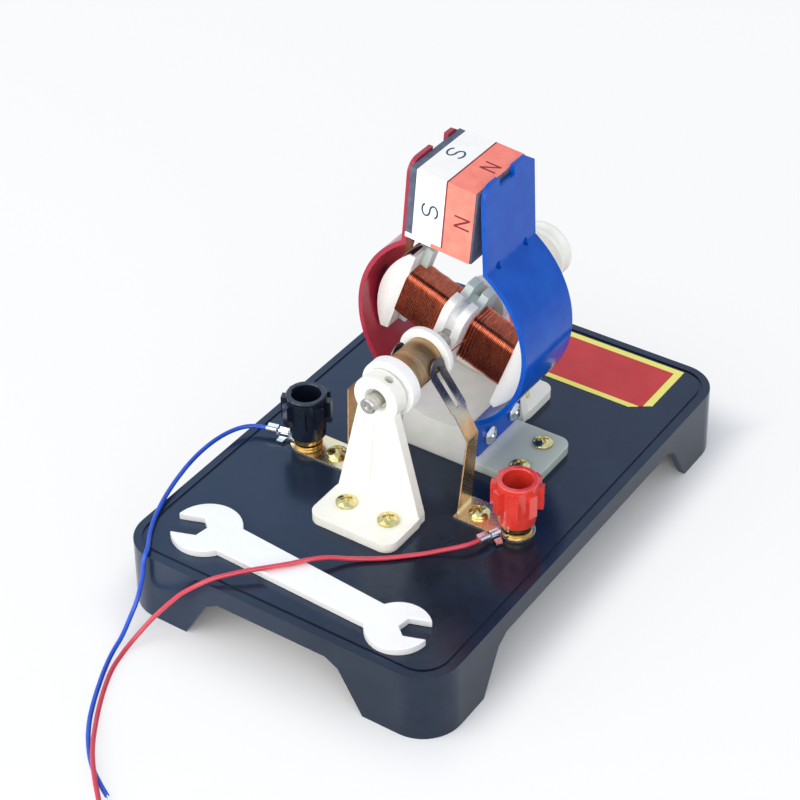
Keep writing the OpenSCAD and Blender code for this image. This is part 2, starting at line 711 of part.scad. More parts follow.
module commutator_sleeve() {
    color([0.95, 0.95, 0.93]) difference() {
        union() {
            axis_bar(shell_y[0] - front_flange_t, shell_y[0], flange_d / 2);
            axis_bar(shell_y[0] - cut, shell_y[1] + cut, shell_d / 2 - shell_t);
            axis_bar(shell_y[1], shell_y[1] + rear_flange_t, flange_d / 2);
        }
        axis_bar(shell_y[0] - front_flange_t - cut, shell_y[1] + rear_flange_t + cut,
            shaft_d / 2 + seat_gap);
    }
}

// Puts things in the armature's frame: X along the pole axis, Z square to it
module at_armature() {
    translate([0, 0, axis_z]) rotate([0, armature_tilt, 0]) children();
}

// Half shell on the given side of the pole axis
module commutator_shell(side) {
    color([0.66, 0.52, 0.3]) at_armature() along_y(shell_y[0], shell_y[1]) intersection() {
        difference() {
            circle(shell_d / 2);
            circle(shell_d / 2 - shell_t + seat_gap);
        }
        translate([-shell_d, side > 0 ? shell_slot / 2 : -shell_d - shell_slot / 2])
            square([2 * shell_d, shell_d]);
    }
}

module upper_shell() { commutator_shell(1); }

module lower_shell() { commutator_shell(-1); }

// Pole shoe outline from its inner face out to a radius
module shoe(inner, outer_r, half) {
    intersection() {
        circle(outer_r, $fn = 128);
        translate([inner, -half]) square([outer_r, 2 * half]);
    }
}

// Draws things on both sides of the shaft
module both_sides() {
    for (side = [0, 1]) mirror([side, 0, 0]) children();
}

// Round hole for the shaft through the armature's pieces
module armature_bore() {
    along_y(inner_flange_y[0] - 1, inner_flange_y[1] + 1) circle(shaft_d / 2 + seat_gap);
}

// Iron bar between the shoes, with room to spare
module iron_bar(gap) {
    reach = shoe_in + cheek_t + gap;
    translate([-reach, bar_y[0] - gap, -iron_bar_h / 2 - gap])
        cube([2 * reach, bar_y[1] - bar_y[0] + 2 * gap, iron_bar_h + 2 * gap]);
}

module armature_core() {
    color([0.16, 0.16, 0.18]) at_armature() difference() {
        union() {
            iron_bar(0);
            both_sides() along_y(iron_y[0], iron_y[1])
                shoe(shoe_in + cheek_t, shoe_r - iron_inset[0], shoe_half - iron_inset[1]);
        }
        armature_bore();
    }
}

// Inner flanges, middle web and bar lining of one half of the frame, between two places along Y
module frame_hub(y0, y1) {
    flange_len = inner_flange_y[1] - inner_flange_y[0];
    lining = [bar_y[0] - lining_t, bar_y[1] + lining_t];
    both_sides() intersection() {
        union() {
            along_x(inner_flange[0], inner_flange[1]) difference() {
                translate([inner_flange_y[0] + flange_len / 2, 0])
                    round_rect([flange_len, inner_flange_h], hub_corner);
                for (side = [-1, 1])
                    translate([bar_mid_y, side * inner_flange_h / 2]) circle(hub_notch_r);
            }
            along_x(0, inner_flange[0]) translate([inner_flange_y[0] + flange_len / 2, 0])
                round_rect([flange_len, inner_flange_h] - 2 * web_inset, hub_corner);
            along_x(inner_flange[1], shoe_in + cheek_t)
                translate([lining[0], -iron_bar_h / 2 - lining_t])
                    square([lining[1] - lining[0], iron_bar_h + 2 * lining_t]);
        }
        translate([0, y0, -shoe_r]) cube([shoe_r, y1 - y0, 2 * shoe_r]);
    }
}

module front_frame() {
    color([0.94, 0.95, 0.95]) at_armature() difference() {
        union() {
            frame_hub(inner_flange_y[0], bar_mid_y);
            both_sides() along_y(frame_front_y, iron_y[0]) shoe(shoe_in, shoe_r, shoe_half);
            both_sides() along_y(iron_y[0] - cut, bar_mid_y) intersection() {
                shoe(shoe_in, shoe_r, shoe_half);
                translate([shoe_in, -shoe_r]) square([cheek_t, 2 * shoe_r]);
            }
        }
        both_sides() linear_extrude(2 * shoe_r, center = true) polygon([
            [shoe_in - cut, frame_front_y - cut], [shoe_in + cheek_bevel, frame_front_y - cut],
            [shoe_in + cheek_bevel, frame_front_y],
            [shoe_in, frame_front_y + 0.4 * cheek_bevel],
            [shoe_in - cut, frame_front_y + 0.4 * cheek_bevel]]);
        iron_bar(seat_gap);
        armature_bore();
    }
}

module rear_frame() {
    color([0.84, 0.83, 0.77]) at_armature() difference() {
        union() {
            frame_hub(bar_mid_y, inner_flange_y[1]);
            both_sides() along_y(iron_y[1], frame_rear_y)
                shoe(shoe_in - rear_cheek_extra, shoe_r, shoe_half);
            both_sides() along_y(bar_mid_y, iron_y[1] + cut) intersection() {
                shoe(shoe_in, shoe_r, shoe_half);
                translate([shoe_in, -shoe_r]) square([cheek_t, 2 * shoe_r]);
            }
        }
        iron_bar(seat_gap);
        armature_bore();
    }
}

// Coil on the right side of the armature
module coil() {
    start = inner_flange[1];
    end = shoe_in;
    window = [bar_y[0] - lining_t, bar_y[1] + lining_t];
    color([0.55, 0.28, 0.17]) difference() {
        along_x(start, end) difference() {
            translate([(coil_y[0] + coil_y[1]) / 2, 0])
                round_rect([coil_y[1] - coil_y[0], coil_h], coil_corner);
            translate([window[0], -iron_bar_h / 2 - lining_t])
                square([window[1] - window[0], iron_bar_h + 2 * lining_t]);
        }
        translate([end - rear_cheek_extra, iron_y[1], -coil_h])
            cube([2 * rear_cheek_extra, coil_y[1], 2 * coil_h]);
    }
}

module right_coil() {
    at_armature() coil();
}

module left_coil() {
    at_armature() mirror([1, 0, 0]) coil();
}

module rear_pulley() {
    r = pulley_d / 2;
    w = pulley_y[1] - pulley_y[0];
    bore = shaft_d / 2 + seat_gap;
    color([0.93, 0.94, 0.84]) translate([0, pulley_y[0], axis_z]) rotate([-90, 0, 0])
        rotate_extrude() polygon([
            [bore, -pulley_hub_l], [pulley_hub_d / 2, -pulley_hub_l], [pulley_hub_d / 2, 0],
            [r - 0.4, 0], [r, 0.4], [r, 0.25 * w], [r - belt_depth, 0.42 * w],
            [r - belt_depth, 0.58 * w], [r, 0.75 * w], [r, w - 0.4], [r - 0.4, w], [bore, w]]);
}

function unit(v) = v / norm(v);
function left_of(v) = [-v[1], v[0]];
// Mitred offset of point i of a path to its left
function beside(path, i, d) =
    i == 0 ? path[0] + d * left_of(unit(path[1] - path[0])) :
    i == len(path) - 1 ? path[i] + d * left_of(unit(path[i] - path[i - 1])) :
    let (a = left_of(unit(path[i] - path[i - 1])), b = left_of(unit(path[i + 1] - path[i])),
        m = unit(a + b)) path[i] + d / (m * a) * m;
// Outline of a strip of thickness t to the left of a path
function strip_outline(path, t) = concat(path,
    [for (i = [len(path) - 1:-1:0]) beside(path, i, t)]);

touch_x = shell_d / 2 + brush_gap;
// Inner face of a brush, drawn on the +X side, from the tray up to its tip
function brush_path(i) = [
    [strip_root_x[i], base_h], [strip_root_x[i], base_h + 1.2],
    [strip_bend[i][0], base_h + strip_bend[i][1]], [strip_neck[i][0], base_h + strip_neck[i][1]],
    [touch_x + 0.75, axis_z - 1.6], [touch_x, axis_z + 0.4],
    [touch_x - 0.2, axis_z + strip_tip_rise]];
// The upright part leans back from the foot's edge to the head, clear of the rear flange
head_y = shell_y[1] - brush_gap - head_w / 2;
upright_y = strip_foot_y;

// Face of the brush, seen across the motor: upright, neck and slotted round head
module brush_face(i) {
    tip = axis_z + strip_tip_rise;
    neck_z = base_h + strip_neck[i][1];
    bend_z = base_h + strip_bend[i][1];
    half = head_w / 2;
    difference() {
        union() {
            translate([head_y, tip - half]) circle(half);
            translate([head_y - half, neck_z - 1]) square([head_w, tip - half - neck_z + 1]);
            polygon([[upright_y - half, base_h], [upright_y + half, base_h],
                [head_y + neck_w / 2, bend_z], [head_y + neck_w / 2, neck_z - 2],
                [head_y + half, neck_z - 1], [head_y + half, neck_z + 1],
                [head_y - half, neck_z + 1], [head_y - half, neck_z - 1],
                [head_y - neck_w / 2, neck_z - 2], [head_y - neck_w / 2, bend_z]]);
        }
        translate([head_y, tip - half]) circle(head_slot_w / 2);
        translate([head_y - head_slot_w / 2, tip - half - head_slot_l])
            square([head_slot_w, head_slot_l]);
    }
}

// Brush strip drawn on the +X side, the left (0) or right (1) one, its foot under its binding post
module brush(i, post_x) {
    difference() {
        union() {
            intersection() {
                along_y(upright_y - 2 * head_w, shell_y[1])
                    polygon(strip_outline(brush_path(i), -strip_t));
                along_x(0, 2 * strip_root_x[i]) brush_face(i);
            }
            translate([strip_root_x[i], strip_foot_y - strip_foot_w / 2, base_h])
                cube([post_x - strip_root_x[i], strip_foot_w, strip_t]);
            translate([post_x, strip_foot_y, base_h]) cylinder(h = strip_t, d = strip_foot_w);
        }
        translate([brush_screw_x[i], strip_foot_y, base_h - cut])
            cylinder(h = strip_t + 2 * cut, d = screw_d + 2 * screw_gap);
        translate([post_x, strip_foot_y, base_h - cut])
            cylinder(h = strip_t + 2 * cut, d = stud_d + 2 * screw_gap);
    }
}

module right_brush() {
    color([0.72, 0.58, 0.4]) brush(1, red_post_x);
}

module left_brush() {
    color([0.72, 0.58, 0.4]) mirror([1, 0, 0]) brush(0, black_post_x);
}

module brush_screws() {
    color([0.78, 0.72, 0.45]) for (x = [-brush_screw_x[0], brush_screw_x[1]])
        translate([x, strip_foot_y, strip_top]) pan_screw(screw_head_d, screw_l);
}

// Height of the floor of a cap's socket
socket_floor = cap_top - socket_depth;
stud_top = socket_floor - cap_floor_t - stud_end_gap;

module terminal_studs() {
    color([0.8, 0.68, 0.4]) for (at = post_places()) translate([at[0], at[1], 0]) {
        translate([0, 0, base_h - base_top - stud_nut[1]])
            cylinder(h = stud_nut[1], d = stud_nut[0], $fn = 6);
        translate([0, 0, base_h - base_top - cut])
            cylinder(h = stud_top - base_h + base_top + cut, d = stud_d);
    }
}

module terminal_washers() {
    color([0.8, 0.68, 0.4])
        for (at = post_places(), seat = [[strip_top, washer_t], [lug_z + lug_t, cap_washer_t]])
            translate([at[0], at[1], seat[0]]) difference() {
                cylinder(h = seat[1], d = washer_d);
                translate([0, 0, -cut])
                    cylinder(h = seat[1] + 2 * cut, d = stud_d + 2 * screw_gap);
            }
}

// Cap of a binding post, standing on its lug's upper washer
module terminal_cap() {
    r = cap_d / 2;
    bore = stud_d / 2 + run_gap;
    socket_r = socket_d / 2;
    translate([0, 0, cap_z]) {
        rotate_extrude() polygon([
            [bore, 0], [r - 0.8, 0], [r - 0.4, 0.5], [r, cap_h / 2], [r, cap_h - 1.2],
            [r + 0.15, cap_h - 0.9], [r + 0.15, cap_h - 0.3], [r - 0.15, cap_h],
            [socket_r + 0.3, cap_h], [socket_r, cap_h - 0.3], [socket_r, cap_h - socket_depth],
            [0, cap_h - socket_depth], [0, cap_h - socket_depth - cap_floor_t],
            [bore, cap_h - socket_depth - cap_floor_t]]);
        for (i = [0:cap_ribs - 1]) rotate((i + 0.5) * 360 / cap_ribs)
            translate([socket_r + 0.8, -cap_rib_w / 2, cap_h - cap_rib_drop - cap_rib_h])
                cube([cap_rib_d / 2 - socket_r - 0.8, cap_rib_w, cap_rib_h]);
    }
}

module red_cap() {
    color([0.9, 0.15, 0.12]) translate([red_post_x, strip_foot_y, 0]) terminal_cap();
}

module black_cap() {
    color([0.05, 0.055, 0.07]) translate([-black_post_x, strip_foot_y, 0]) terminal_cap();
}

// Crimped lug: ring round the stud, flat neck and barrel along +X
module lug() {
    barrel_z = lug_z + 0.5 * barrel_d - 0.4;
    difference() {
        union() {
            translate([0, 0, lug_z]) cylinder(h = lug_t, d = lug_ring_d);
            translate([0, -0.3 * lug_ring_d, lug_z]) cube([lug_reach, 0.6 * lug_ring_d, lug_t]);
            translate([lug_reach - 0.5, 0, barrel_z]) rotate([0, 90, 0])
                cylinder(h = barrel_l, d = barrel_d);
        }
        translate([0, 0, lug_z - cut]) cylinder(h = lug_t + 2 * cut, d = stud_d + 2 * screw_gap);
        translate([lug_reach + 2, 0, barrel_z]) rotate([0, 90, 0])
            cylinder(h = barrel_l, d = lead_d + 2 * screw_gap);
    }
}

module red_lug() {
    color([0.85, 0.85, 0.87]) translate([red_post_x, strip_foot_y, 0]) rotate(red_lug_turn) lug();
}

module blue_lug() {
    color([0.85, 0.85, 0.87]) translate([-black_post_x, strip_foot_y, 0])
        rotate(blue_lug_turn) lug();
}

// Direction of a route at point i
function heading(route, i) = unit(
    route[min(i + 1, len(route) - 1)] - route[max(i - 1, 0)]);
// Ring of points round point i of a route, square to it
function lead_ring(route, i, sides) =
    let (t = heading(route, i), across = unit(cross([0, 0, 1], t)), up = cross(t, across))
    [for (k = [0:sides - 1]) let (a = 360 * k / sides)
        route[i] + lead_d / 2 * (cos(a) * across + sin(a) * up)];

// Round lead swept along a route with one ring at each of its points
module lead(route) {
    sides = 8;
    n = len(route);
    points = [for (i = [0:n - 1]) each lead_ring(route, i, sides)];
    walls = [for (i = [0:n - 2], k = [0:sides - 1]) let (next = (k + 1) % sides)
        each [[i * sides + k, (i + 1) * sides + k, (i + 1) * sides + next],
            [i * sides + k, (i + 1) * sides + next, i * sides + next]]];
    ends = [[for (k = [0:sides - 1]) k], [for (k = [sides - 1:-1:0]) (n - 1) * sides + k]];
    polyhedron(points, concat(walls, ends));
}

module red_lead() {
    color([0.8, 0.2, 0.25]) lead(red_route);
}

module blue_lead() {
    color([0.05, 0.25, 0.75]) lead(blue_route);
}

// Jaw of the spanner, opening along +X: a six-sided seat and its way out
module jaw(width, head_d) {
    corner = width / sqrt(3);
    translate([jaw_offset, 0]) polygon([
        [-corner, 0], [-corner / 2, -width / 2], [head_d, -width / 2],
        [head_d, width / 2], [-corner / 2, width / 2]]);
}

module spanner() {
    big = spanner_head_d[0] / 2;
    small = spanner_head_d[1] / 2;
    half = spanner_shank_w / 2;
    color([0.86, 0.87, 0.88]) translate([spanner_at[0], spanner_at[1], base_h])
        rotate(spanner_turn) linear_extrude(spanner_t) difference() {
            union() {
                circle(big);
                translate([spanner_l, 0]) circle(small);
                polygon([[0, -half[0]], [spanner_l, -half[1]], [spanner_l, half[1]], [0, half[0]]]);
            }
            rotate(180 + jaw_angle) jaw(spanner_jaw[0], 2 * big);
            translate([spanner_l, 0]) rotate(jaw_angle) jaw(spanner_jaw[1], 2 * small);
        }
}

base_tray();
name_plate();
front_bracket();
rear_bracket();
bracket_screws();
stator_mount();
mount_screws();
red_pole_plate();
blue_pole_plate();
pole_screws();
magnet();
south_paper();
north_paper();
shaft();
commutator_sleeve();
upper_shell();
lower_shell();
armature_core();
front_frame();
rear_frame();
left_coil();
right_coil();
rear_pulley();
left_brush();
right_brush();
brush_screws();
terminal_studs();
terminal_washers();
red_cap();
black_cap();
red_lug();
blue_lug();
red_lead();
blue_lead();
spanner();
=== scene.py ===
"""Demonstration direct current motor: the looks of every piece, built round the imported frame."""

import json
import math

import bmesh
import bpy
from mathutils import Matrix, Vector


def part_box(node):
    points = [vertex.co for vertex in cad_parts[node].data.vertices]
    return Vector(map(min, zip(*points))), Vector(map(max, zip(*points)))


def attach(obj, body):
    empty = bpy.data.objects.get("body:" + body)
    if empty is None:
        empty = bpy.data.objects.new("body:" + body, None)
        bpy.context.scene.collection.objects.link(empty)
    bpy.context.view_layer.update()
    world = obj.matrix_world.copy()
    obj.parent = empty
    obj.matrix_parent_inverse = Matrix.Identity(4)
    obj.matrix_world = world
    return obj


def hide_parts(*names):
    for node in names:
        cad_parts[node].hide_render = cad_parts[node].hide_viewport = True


MM = 0.001
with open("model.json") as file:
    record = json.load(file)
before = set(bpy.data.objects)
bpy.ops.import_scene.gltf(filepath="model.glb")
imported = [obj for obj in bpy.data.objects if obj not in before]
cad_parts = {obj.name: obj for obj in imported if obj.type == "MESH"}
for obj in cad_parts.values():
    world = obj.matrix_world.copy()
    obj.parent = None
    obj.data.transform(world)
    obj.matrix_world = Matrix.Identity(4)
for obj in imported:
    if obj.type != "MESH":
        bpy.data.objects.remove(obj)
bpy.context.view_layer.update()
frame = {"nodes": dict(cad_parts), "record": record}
nodes = frame["nodes"]
bodies = frame["record"]["behaviour"]["bodies"]
body_of_node = {node: body for body, members in bodies.items() for node in members}
scene = bpy.context.scene

# Camera, at the photograph's place and angle: millimetres and degrees
CAMERA_AT = (280.226, -424.020, 429.345)
CAMERA_AZIMUTH, CAMERA_HEIGHT, CAMERA_ROLL = 34.5675, 37.1654, -0.9577
CAMERA_LENS, CAMERA_SENSOR = 97.07, 36.0
CAMERA_NEAR, CAMERA_FAR = 0.05, 20


def place_camera():
    """Sets the scene's camera where the photograph was taken from."""
    camera = bpy.data.objects.new("camera", bpy.data.cameras.new("camera"))
    scene.collection.objects.link(camera)
    a, e, roll = (math.radians(x) for x in (CAMERA_AZIMUTH, CAMERA_HEIGHT, CAMERA_ROLL))
    back = Vector((math.sin(a) * math.cos(e), -math.cos(a) * math.cos(e), math.sin(e)))
    level = Vector((math.cos(a), math.sin(a), 0))
    upright = back.cross(level)
    across = level * math.cos(roll) + upright * math.sin(roll)
    up = upright * math.cos(roll) - level * math.sin(roll)
    turned = Matrix((across, up, back)).transposed().to_4x4()
    camera.matrix_world = Matrix.Translation(Vector(CAMERA_AT) * MM) @ turned
    camera.data.lens, camera.data.sensor_width = CAMERA_LENS, CAMERA_SENSOR
    camera.data.clip_start, camera.data.clip_end = CAMERA_NEAR, CAMERA_FAR
    scene.camera = camera


# Materials


def tint(code):
    """An sRGB hex colour as a linear one with full cover."""
    parts = [int(code[i : i + 2], 16) / 255 for i in (1, 3, 5)]
    return [p / 12.92 if p <= 0.04045 else ((p + 0.055) / 1.055) ** 2.4 for p in parts] + [1.0]


def add(tree, kind, values=None, links=None, **settings):
    """Adds a node with its settings, its sockets' values and what is linked to them."""
    node = tree.nodes.new(kind)
    for key, value in settings.items():
        setattr(node, key, value)
    for key, value in (values or {}).items():
        node.inputs[key].default_value = value
    for key, source in (links or {}).items():
        tree.links.new(source, node.inputs[key])
    return node


# Values of the noise between which a patch turns from one tone to the other, and a grain from
# one roughness to the other
TONE_RANGE, GLOSS_RANGE = (0.36, 0.64), (0.3, 0.7)


def surface(name, tones, patch, grain, lift, gloss, shader, stretch=(1, 1, 1), turn=(0, 0, 0)):
    """Material that drifts between two tones over patches, with a grain that moves its gloss.
    patch, grain and lift, the grain's height, are in millimetres; gloss is its two roughnesses."""
    material = bpy.data.materials.new(name)
    material.use_nodes = True
    tree = material.node_tree
    face = tree.nodes["Principled BSDF"]
    for socket, value in shader.items():
        face.inputs[socket].default_value = value
    spot = add(tree, "ShaderNodeTexCoord").outputs["Object"]
    place = add(tree, "ShaderNodeMapping", {"Scale": stretch, "Rotation": turn}, {"Vector": spot})
    patches, grains = (
        add(tree, "ShaderNodeTexNoise", {"Scale": 1 / (size * MM), "Detail": 3.0, "Roughness": 0.6},
            {"Vector": place.outputs["Vector"]}).outputs["Fac"]
        for size in (patch, grain)
    )
    share = add(tree, "ShaderNodeMapRange",
        {"From Min": TONE_RANGE[0], "From Max": TONE_RANGE[1]}, {"Value": patches})
    colour = add(tree, "ShaderNodeMix", {6: tint(tones[0]), 7: tint(tones[1])},
        {0: share.outputs["Result"]}, data_type="RGBA")
    rough = add(tree, "ShaderNodeMapRange", {"From Min": GLOSS_RANGE[0],
        "From Max": GLOSS_RANGE[1], "To Min": gloss[0], "To Max": gloss[1]}, {"Value": grains})
    relief = add(tree, "ShaderNodeBump", {"Distance": lift * MM}, {"Height": grains})
    tree.links.new(colour.outputs[2], face.inputs["Base Color"])
    tree.links.new(rough.outputs["Result"], face.inputs["Roughness"])
    tree.links.new(relief.outputs["Normal"], face.inputs["Normal"])
    return material


def stain_or_painted_light(material, code, axis, start, end, share):
    """Adds a stain, or painted light or shade, to a material: it sets in between two places in
    millimetres along an axis.
    """
    tree = material.node_tree
    face = tree.nodes["Principled BSDF"]
    clean = face.inputs["Base Color"].links[0].from_socket
    spot = add(tree, "ShaderNodeTexCoord").outputs["Object"]
    place = add(tree, "ShaderNodeSeparateXYZ", links={0: spot})
    depth = add(tree, "ShaderNodeMapRange",
        {"From Min": start * MM, "From Max": end * MM, "To Max": share},
        {"Value": place.outputs[axis]}, interpolation_type="SMOOTHSTEP")
    stained_or_shaded = add(tree, "ShaderNodeMix", {7: tint(code)}, {0: depth.outputs["Result"], 6: clean},
        data_type="RGBA")
    tree.links.new(stained_or_shaded.outputs[2], face.inputs["Base Color"])


METAL = {"Metallic": 1.0}


def soft_plastic(ior, depth, share):
    """Shader values of a plastic that light enters a little, to a depth in millimetres."""
    return {"IOR": ior, "Subsurface Weight": share, "Subsurface Radius": (1, 1, 1),
        "Subsurface Scale": depth * MM}


FINISH = {
    # Moulded ABS, black: satin with a cool sheen, and the fine spark-eroded grain of its mould
    "tray_plastic": surface("satin_black_abs", ("#151c29", "#1b2332"), 9, 0.35, 0.004, (0.14, 0.24),
        {"IOR": 1.5, "Specular Tint": tint("#c0d6f6")}),
    # Moulded nylon, ivory: a waxy gloss, and a little light comes through it
    "ivory_plastic": surface("ivory_nylon", ("#f1f1e8", "#f5f5ee"), 6, 0.5, 0.004, (0.3, 0.42),
        soft_plastic(1.53, 1.2, 0.25)),
    # Moulded polypropylene, cloudy: light goes some millimetres into it, so its edges look soft
    "mount_plastic": surface("cloudy_polypropylene", ("#f0f7ee", "#fbfdf9"), 7, 0.6, 0.005,
        (0.28, 0.4), soft_plastic(1.49, 4.0, 0.6)),
    # Moulded polystyrene, white: clean and fairly glossy
    "white_plastic": surface("white_polystyrene", ("#f7f8f7", "#fafbfa"), 5, 0.4, 0.003,
        (0.2, 0.32), soft_plastic(1.59, 0.8, 0.2)),
    # The same plastic painted grey with a teal cast: partly its own tint, partly painted shade for
    # the parts that sit in shade; light goes deeper into it
    "clouded_plastic": surface("white_polystyrene_in_painted_shade", ("#cddad6", "#dae4e0"), 5, 0.4, 0.003,
        (0.36, 0.48), soft_plastic(1.59, 2.0, 0.5)),
    # Moulded polypropylene, cream: waxy, with soft lights
    "cream_plastic": surface("cream_polypropylene", ("#f6f8ec", "#fafbf3"), 6, 0.5, 0.004,
        (0.28, 0.4), soft_plastic(1.49, 1.5, 0.3)),
    # Stove enamel on sheet steel, crimson: glossy, with a faint orange peel
    "red_enamel": surface("crimson_enamel", ("#a0263a", "#ab2e44"), 7, 1.1, 0.006, (0.12, 0.2),
        {"IOR": 1.5, "Specular IOR Level": 0.4}),
    # Stove enamel on sheet steel, royal blue: as glossy, with a deeper colour
    "blue_enamel": surface("royal_blue_enamel", ("#044ab0", "#0a54ba"), 7, 1.1, 0.006, (0.1, 0.18),
        {"IOR": 1.5, "Specular IOR Level": 0.22}),
    # Zinc-plated steel with a yellow chromate: brassy, iridescent in patches
    "yellow_zinc": surface("yellow_zinc_plate", ("#cdb76a", "#dfd7ac"), 1.6, 0.25, 0.002,
        (0.1, 0.2), METAL),
    # Bright nickel plate on steel: a near mirror with small sharp lights
    "bright_screw": surface("bright_nickel", ("#cfd2d6", "#e2e3e4"), 2, 0.3, 0.001, (0.08, 0.16),
        METAL),
    # Sintered ferrite, ground flat: dark grey with fine open grain
    "ferrite": surface("ground_ferrite", ("#454c5f", "#596277"), 3, 0.2, 0.01, (0.42, 0.6),
        {"IOR": 2.3, "Specular IOR Level": 0.12}),
    # Coated paper, white, with the fibres just to be seen
    "white_paper": surface("white_paper", ("#f7f7f5", "#fcfcfa"), 3, 0.18, 0.008, (0.55, 0.7),
        {"IOR": 1.45}),
    # Coated paper, salmon: matt, the same fibres under its colour
    "orange_paper": surface("salmon_paper", ("#f58070", "#fb8e7e"), 4, 0.18, 0.008, (0.5, 0.66),
        {"IOR": 1.45}),
    # Turned and ground steel: fine rings round the shaft, drawn coarser than real so they show
    "shaft_steel": surface("turned_steel", ("#a9a6a0", "#c4c2bd"), 2, 0.5, 0.002, (0.2, 0.34),
        METAL, stretch=(0.3, 4, 0.3)),
    # Drawn brass, brushed round by the contacts and a little tarnished
    "shell_brass": surface("worn_brass", ("#b8925f", "#dcbc8c"), 6, 0.9, 0.002, (0.26, 0.38),
        {"Metallic": 0.75}, stretch=(0.4, 3, 0.4)),
    # Oxidised electrical steel, dark and dull, stacked in sheets of 0.5 mm across the shaft
    "core_iron": surface("oxidised_core_steel", ("#25242a", "#3a393f"), 3, 0.5, 0.02, (0.4, 0.6),
        {"Metallic": 0.7}, stretch=(0.15, 1, 0.15)),
    # Copper wire under a clear dark lacquer: deep brown-red with bright orange lights
    "enamelled_copper": surface("lacquered_copper_wire", ("#c27e60", "#ecb290"), 1.4, 0.3, 0.002,
        (0.14, 0.24), {"Metallic": 1.0, "Coat Weight": 0.8, "Coat Roughness": 0.06,
        "Coat Tint": tint("#e8ac88")}, stretch=(3, 0.5, 0.5), turn=(0, math.radians(-20), 0)),
    # Rolled phosphor bronze, polished: warm, with long soft reflections
    "brush_bronze": surface("polished_phosphor_bronze", ("#c99c70", "#dab488"), 5, 0.4, 0.001,
        (0.2, 0.3), METAL),
    # Turned brass: yellow and bright, with a little tarnish in patches
    "stud_brass": surface("turned_brass", ("#c09a58", "#d1b078"), 2, 0.3, 0.002, (0.16, 0.26),
        METAL),
    # Moulded polystyrene, clear red: glossy, and darker where it is thick
    "red_plastic": surface("clear_red_polystyrene", ("#d23a2e", "#de463a"), 5, 0.5, 0.003,
        (0.08, 0.16), {"IOR": 1.59, "Subsurface Weight": 0.55, "Subsurface Radius": (1, 0.15, 0.1),
        "Subsurface Scale": 1.5 * MM, "Coat Weight": 0.3}),
    # Moulded polystyrene, black: glossy, so that its ribs catch thin lights
    "black_plastic": surface("gloss_black_polystyrene", ("#111826", "#182030"), 5, 0.5, 0.003,
        (0.1, 0.2), {"IOR": 1.59}),
    # Tinned copper sheet, pressed: silvery, with small soft dents
    "tinned_copper": surface("tinned_copper", ("#e2e3e4", "#f2f2f2"), 1.5, 0.3, 0.003, (0.2, 0.34),
        METAL),
    # Extruded soft PVC, red: even, with one soft light along the lead
    "red_pvc": surface("red_pvc", ("#c22f43", "#cc394d"), 8, 0.4, 0.003, (0.26, 0.36),
        {"IOR": 1.54, "Coat Weight": 0.2}),
    # Extruded soft PVC, blue: the same
    "blue_pvc": surface("blue_pvc", ("#0b45bf", "#1150cc"), 8, 0.4, 0.003, (0.26, 0.36),
        {"IOR": 1.54, "Coat Weight": 0.2}),
    # Pressed steel under matt nickel: nearly white under soft light, with fine marks along it
    "plated_steel": surface("matt_nickel_plate", ("#fafafa", "#fdfdfd"), 7, 0.5, 0.003, (0.3, 0.42),
        {"Metallic": 0.25}, stretch=(0.3, 2, 1)),
    # Printed aluminium sheet, a red field under thin lacquer: satin and even
    "printed_plate": surface("red_print", ("#cb3536", "#d33e3e"), 9, 0.5, 0.002, (0.3, 0.42),
        {"IOR": 1.5, "Specular IOR Level": 0.3}),
}
# Stains and painted light run between two places in millimetres, to a share of their colour.
# Painted sheen: the tray is painted a lighter blue-grey towards its left side, for the white room
# that its top mirrors there
stain_or_painted_light(FINISH["tray_plastic"], "#28374c", "X", 25, -45, 0.6)
# The brushes' necks are painted paler, between 46 and 51 mm up
stain_or_painted_light(FINISH["brush_bronze"], "#dcdcc4", "Z", 46, 51, 0.6)
# Painted reflection: the brushes' heads are painted dark grey, for the dark coils and tray that
# they mirror
stain_or_painted_light(FINISH["brush_bronze"], "#3d4150", "Z", 54, 57, 0.85)
# The brushes' feet, flat on the tray, are painted a pale gold towards the tray
stain_or_painted_light(FINISH["brush_bronze"], "#fbe9bb", "Z", 24.6, 23.4, 0.9)
# Sparks have browned the shells where the brushes run
stain_or_painted_light(FINISH["shell_brass"], "#4c3524", "Y", -13, -9, 0.5)
# Painted shade: the mount's thin feet are painted greyer than its block, for the dark tray that
# shows through them
stain_or_painted_light(FINISH["mount_plastic"], "#99a69d", "X", 12.5, 18, 0.75)
stain_or_painted_light(FINISH["mount_plastic"], "#99a69d", "X", -12.5, -18, 0.75)
# The plate's border, printed yellow
YELLOW_PRINT = surface("yellow_print", ("#fdf474", "#fff888"), 9, 0.5, 0.002, (0.3, 0.42),
    {"IOR": 1.5, "Specular IOR Level": 0.3})
# Printing inks of the pole letters, matt; the dark red one also paints a shadow line along the
# papers' seam
TEAL_INK = surface("teal_ink", ("#1a384a", "#214357"), 2, 0.2, 0.002, (0.5, 0.6), {"IOR": 1.5})
RED_INK_AND_SEAM_SHADE = surface("dark_red_ink_and_seam_shade", ("#74111f", "#801827"), 2, 0.2, 0.002, (0.5, 0.6),
    {"IOR": 1.5})


# Pieces


# Angles in degrees: an edge sharper than the first stays sharp in the shading, one sharper than
# the second is rounded, and faces that differ by less than the third are one face
SHADE_LIMIT, EDGE_LIMIT, FLAT_LIMIT = 38, 28, 0.4
# Vertices nearer than the first, in millimetres, are one vertex, and a place nearer to a plane
# than the second, in metres, is on it
MERGE, SAME = 0.002, 1e-7


def smooth_by_angle(bm, limit):
    """Shades faces smooth, apart from edges sharper than a limit in degrees."""
    for face in bm.faces:
        face.smooth = True
    for edge in bm.edges:
        edge.smooth = len(edge.link_faces) == 2 and edge.calc_face_angle(0) < math.radians(limit)


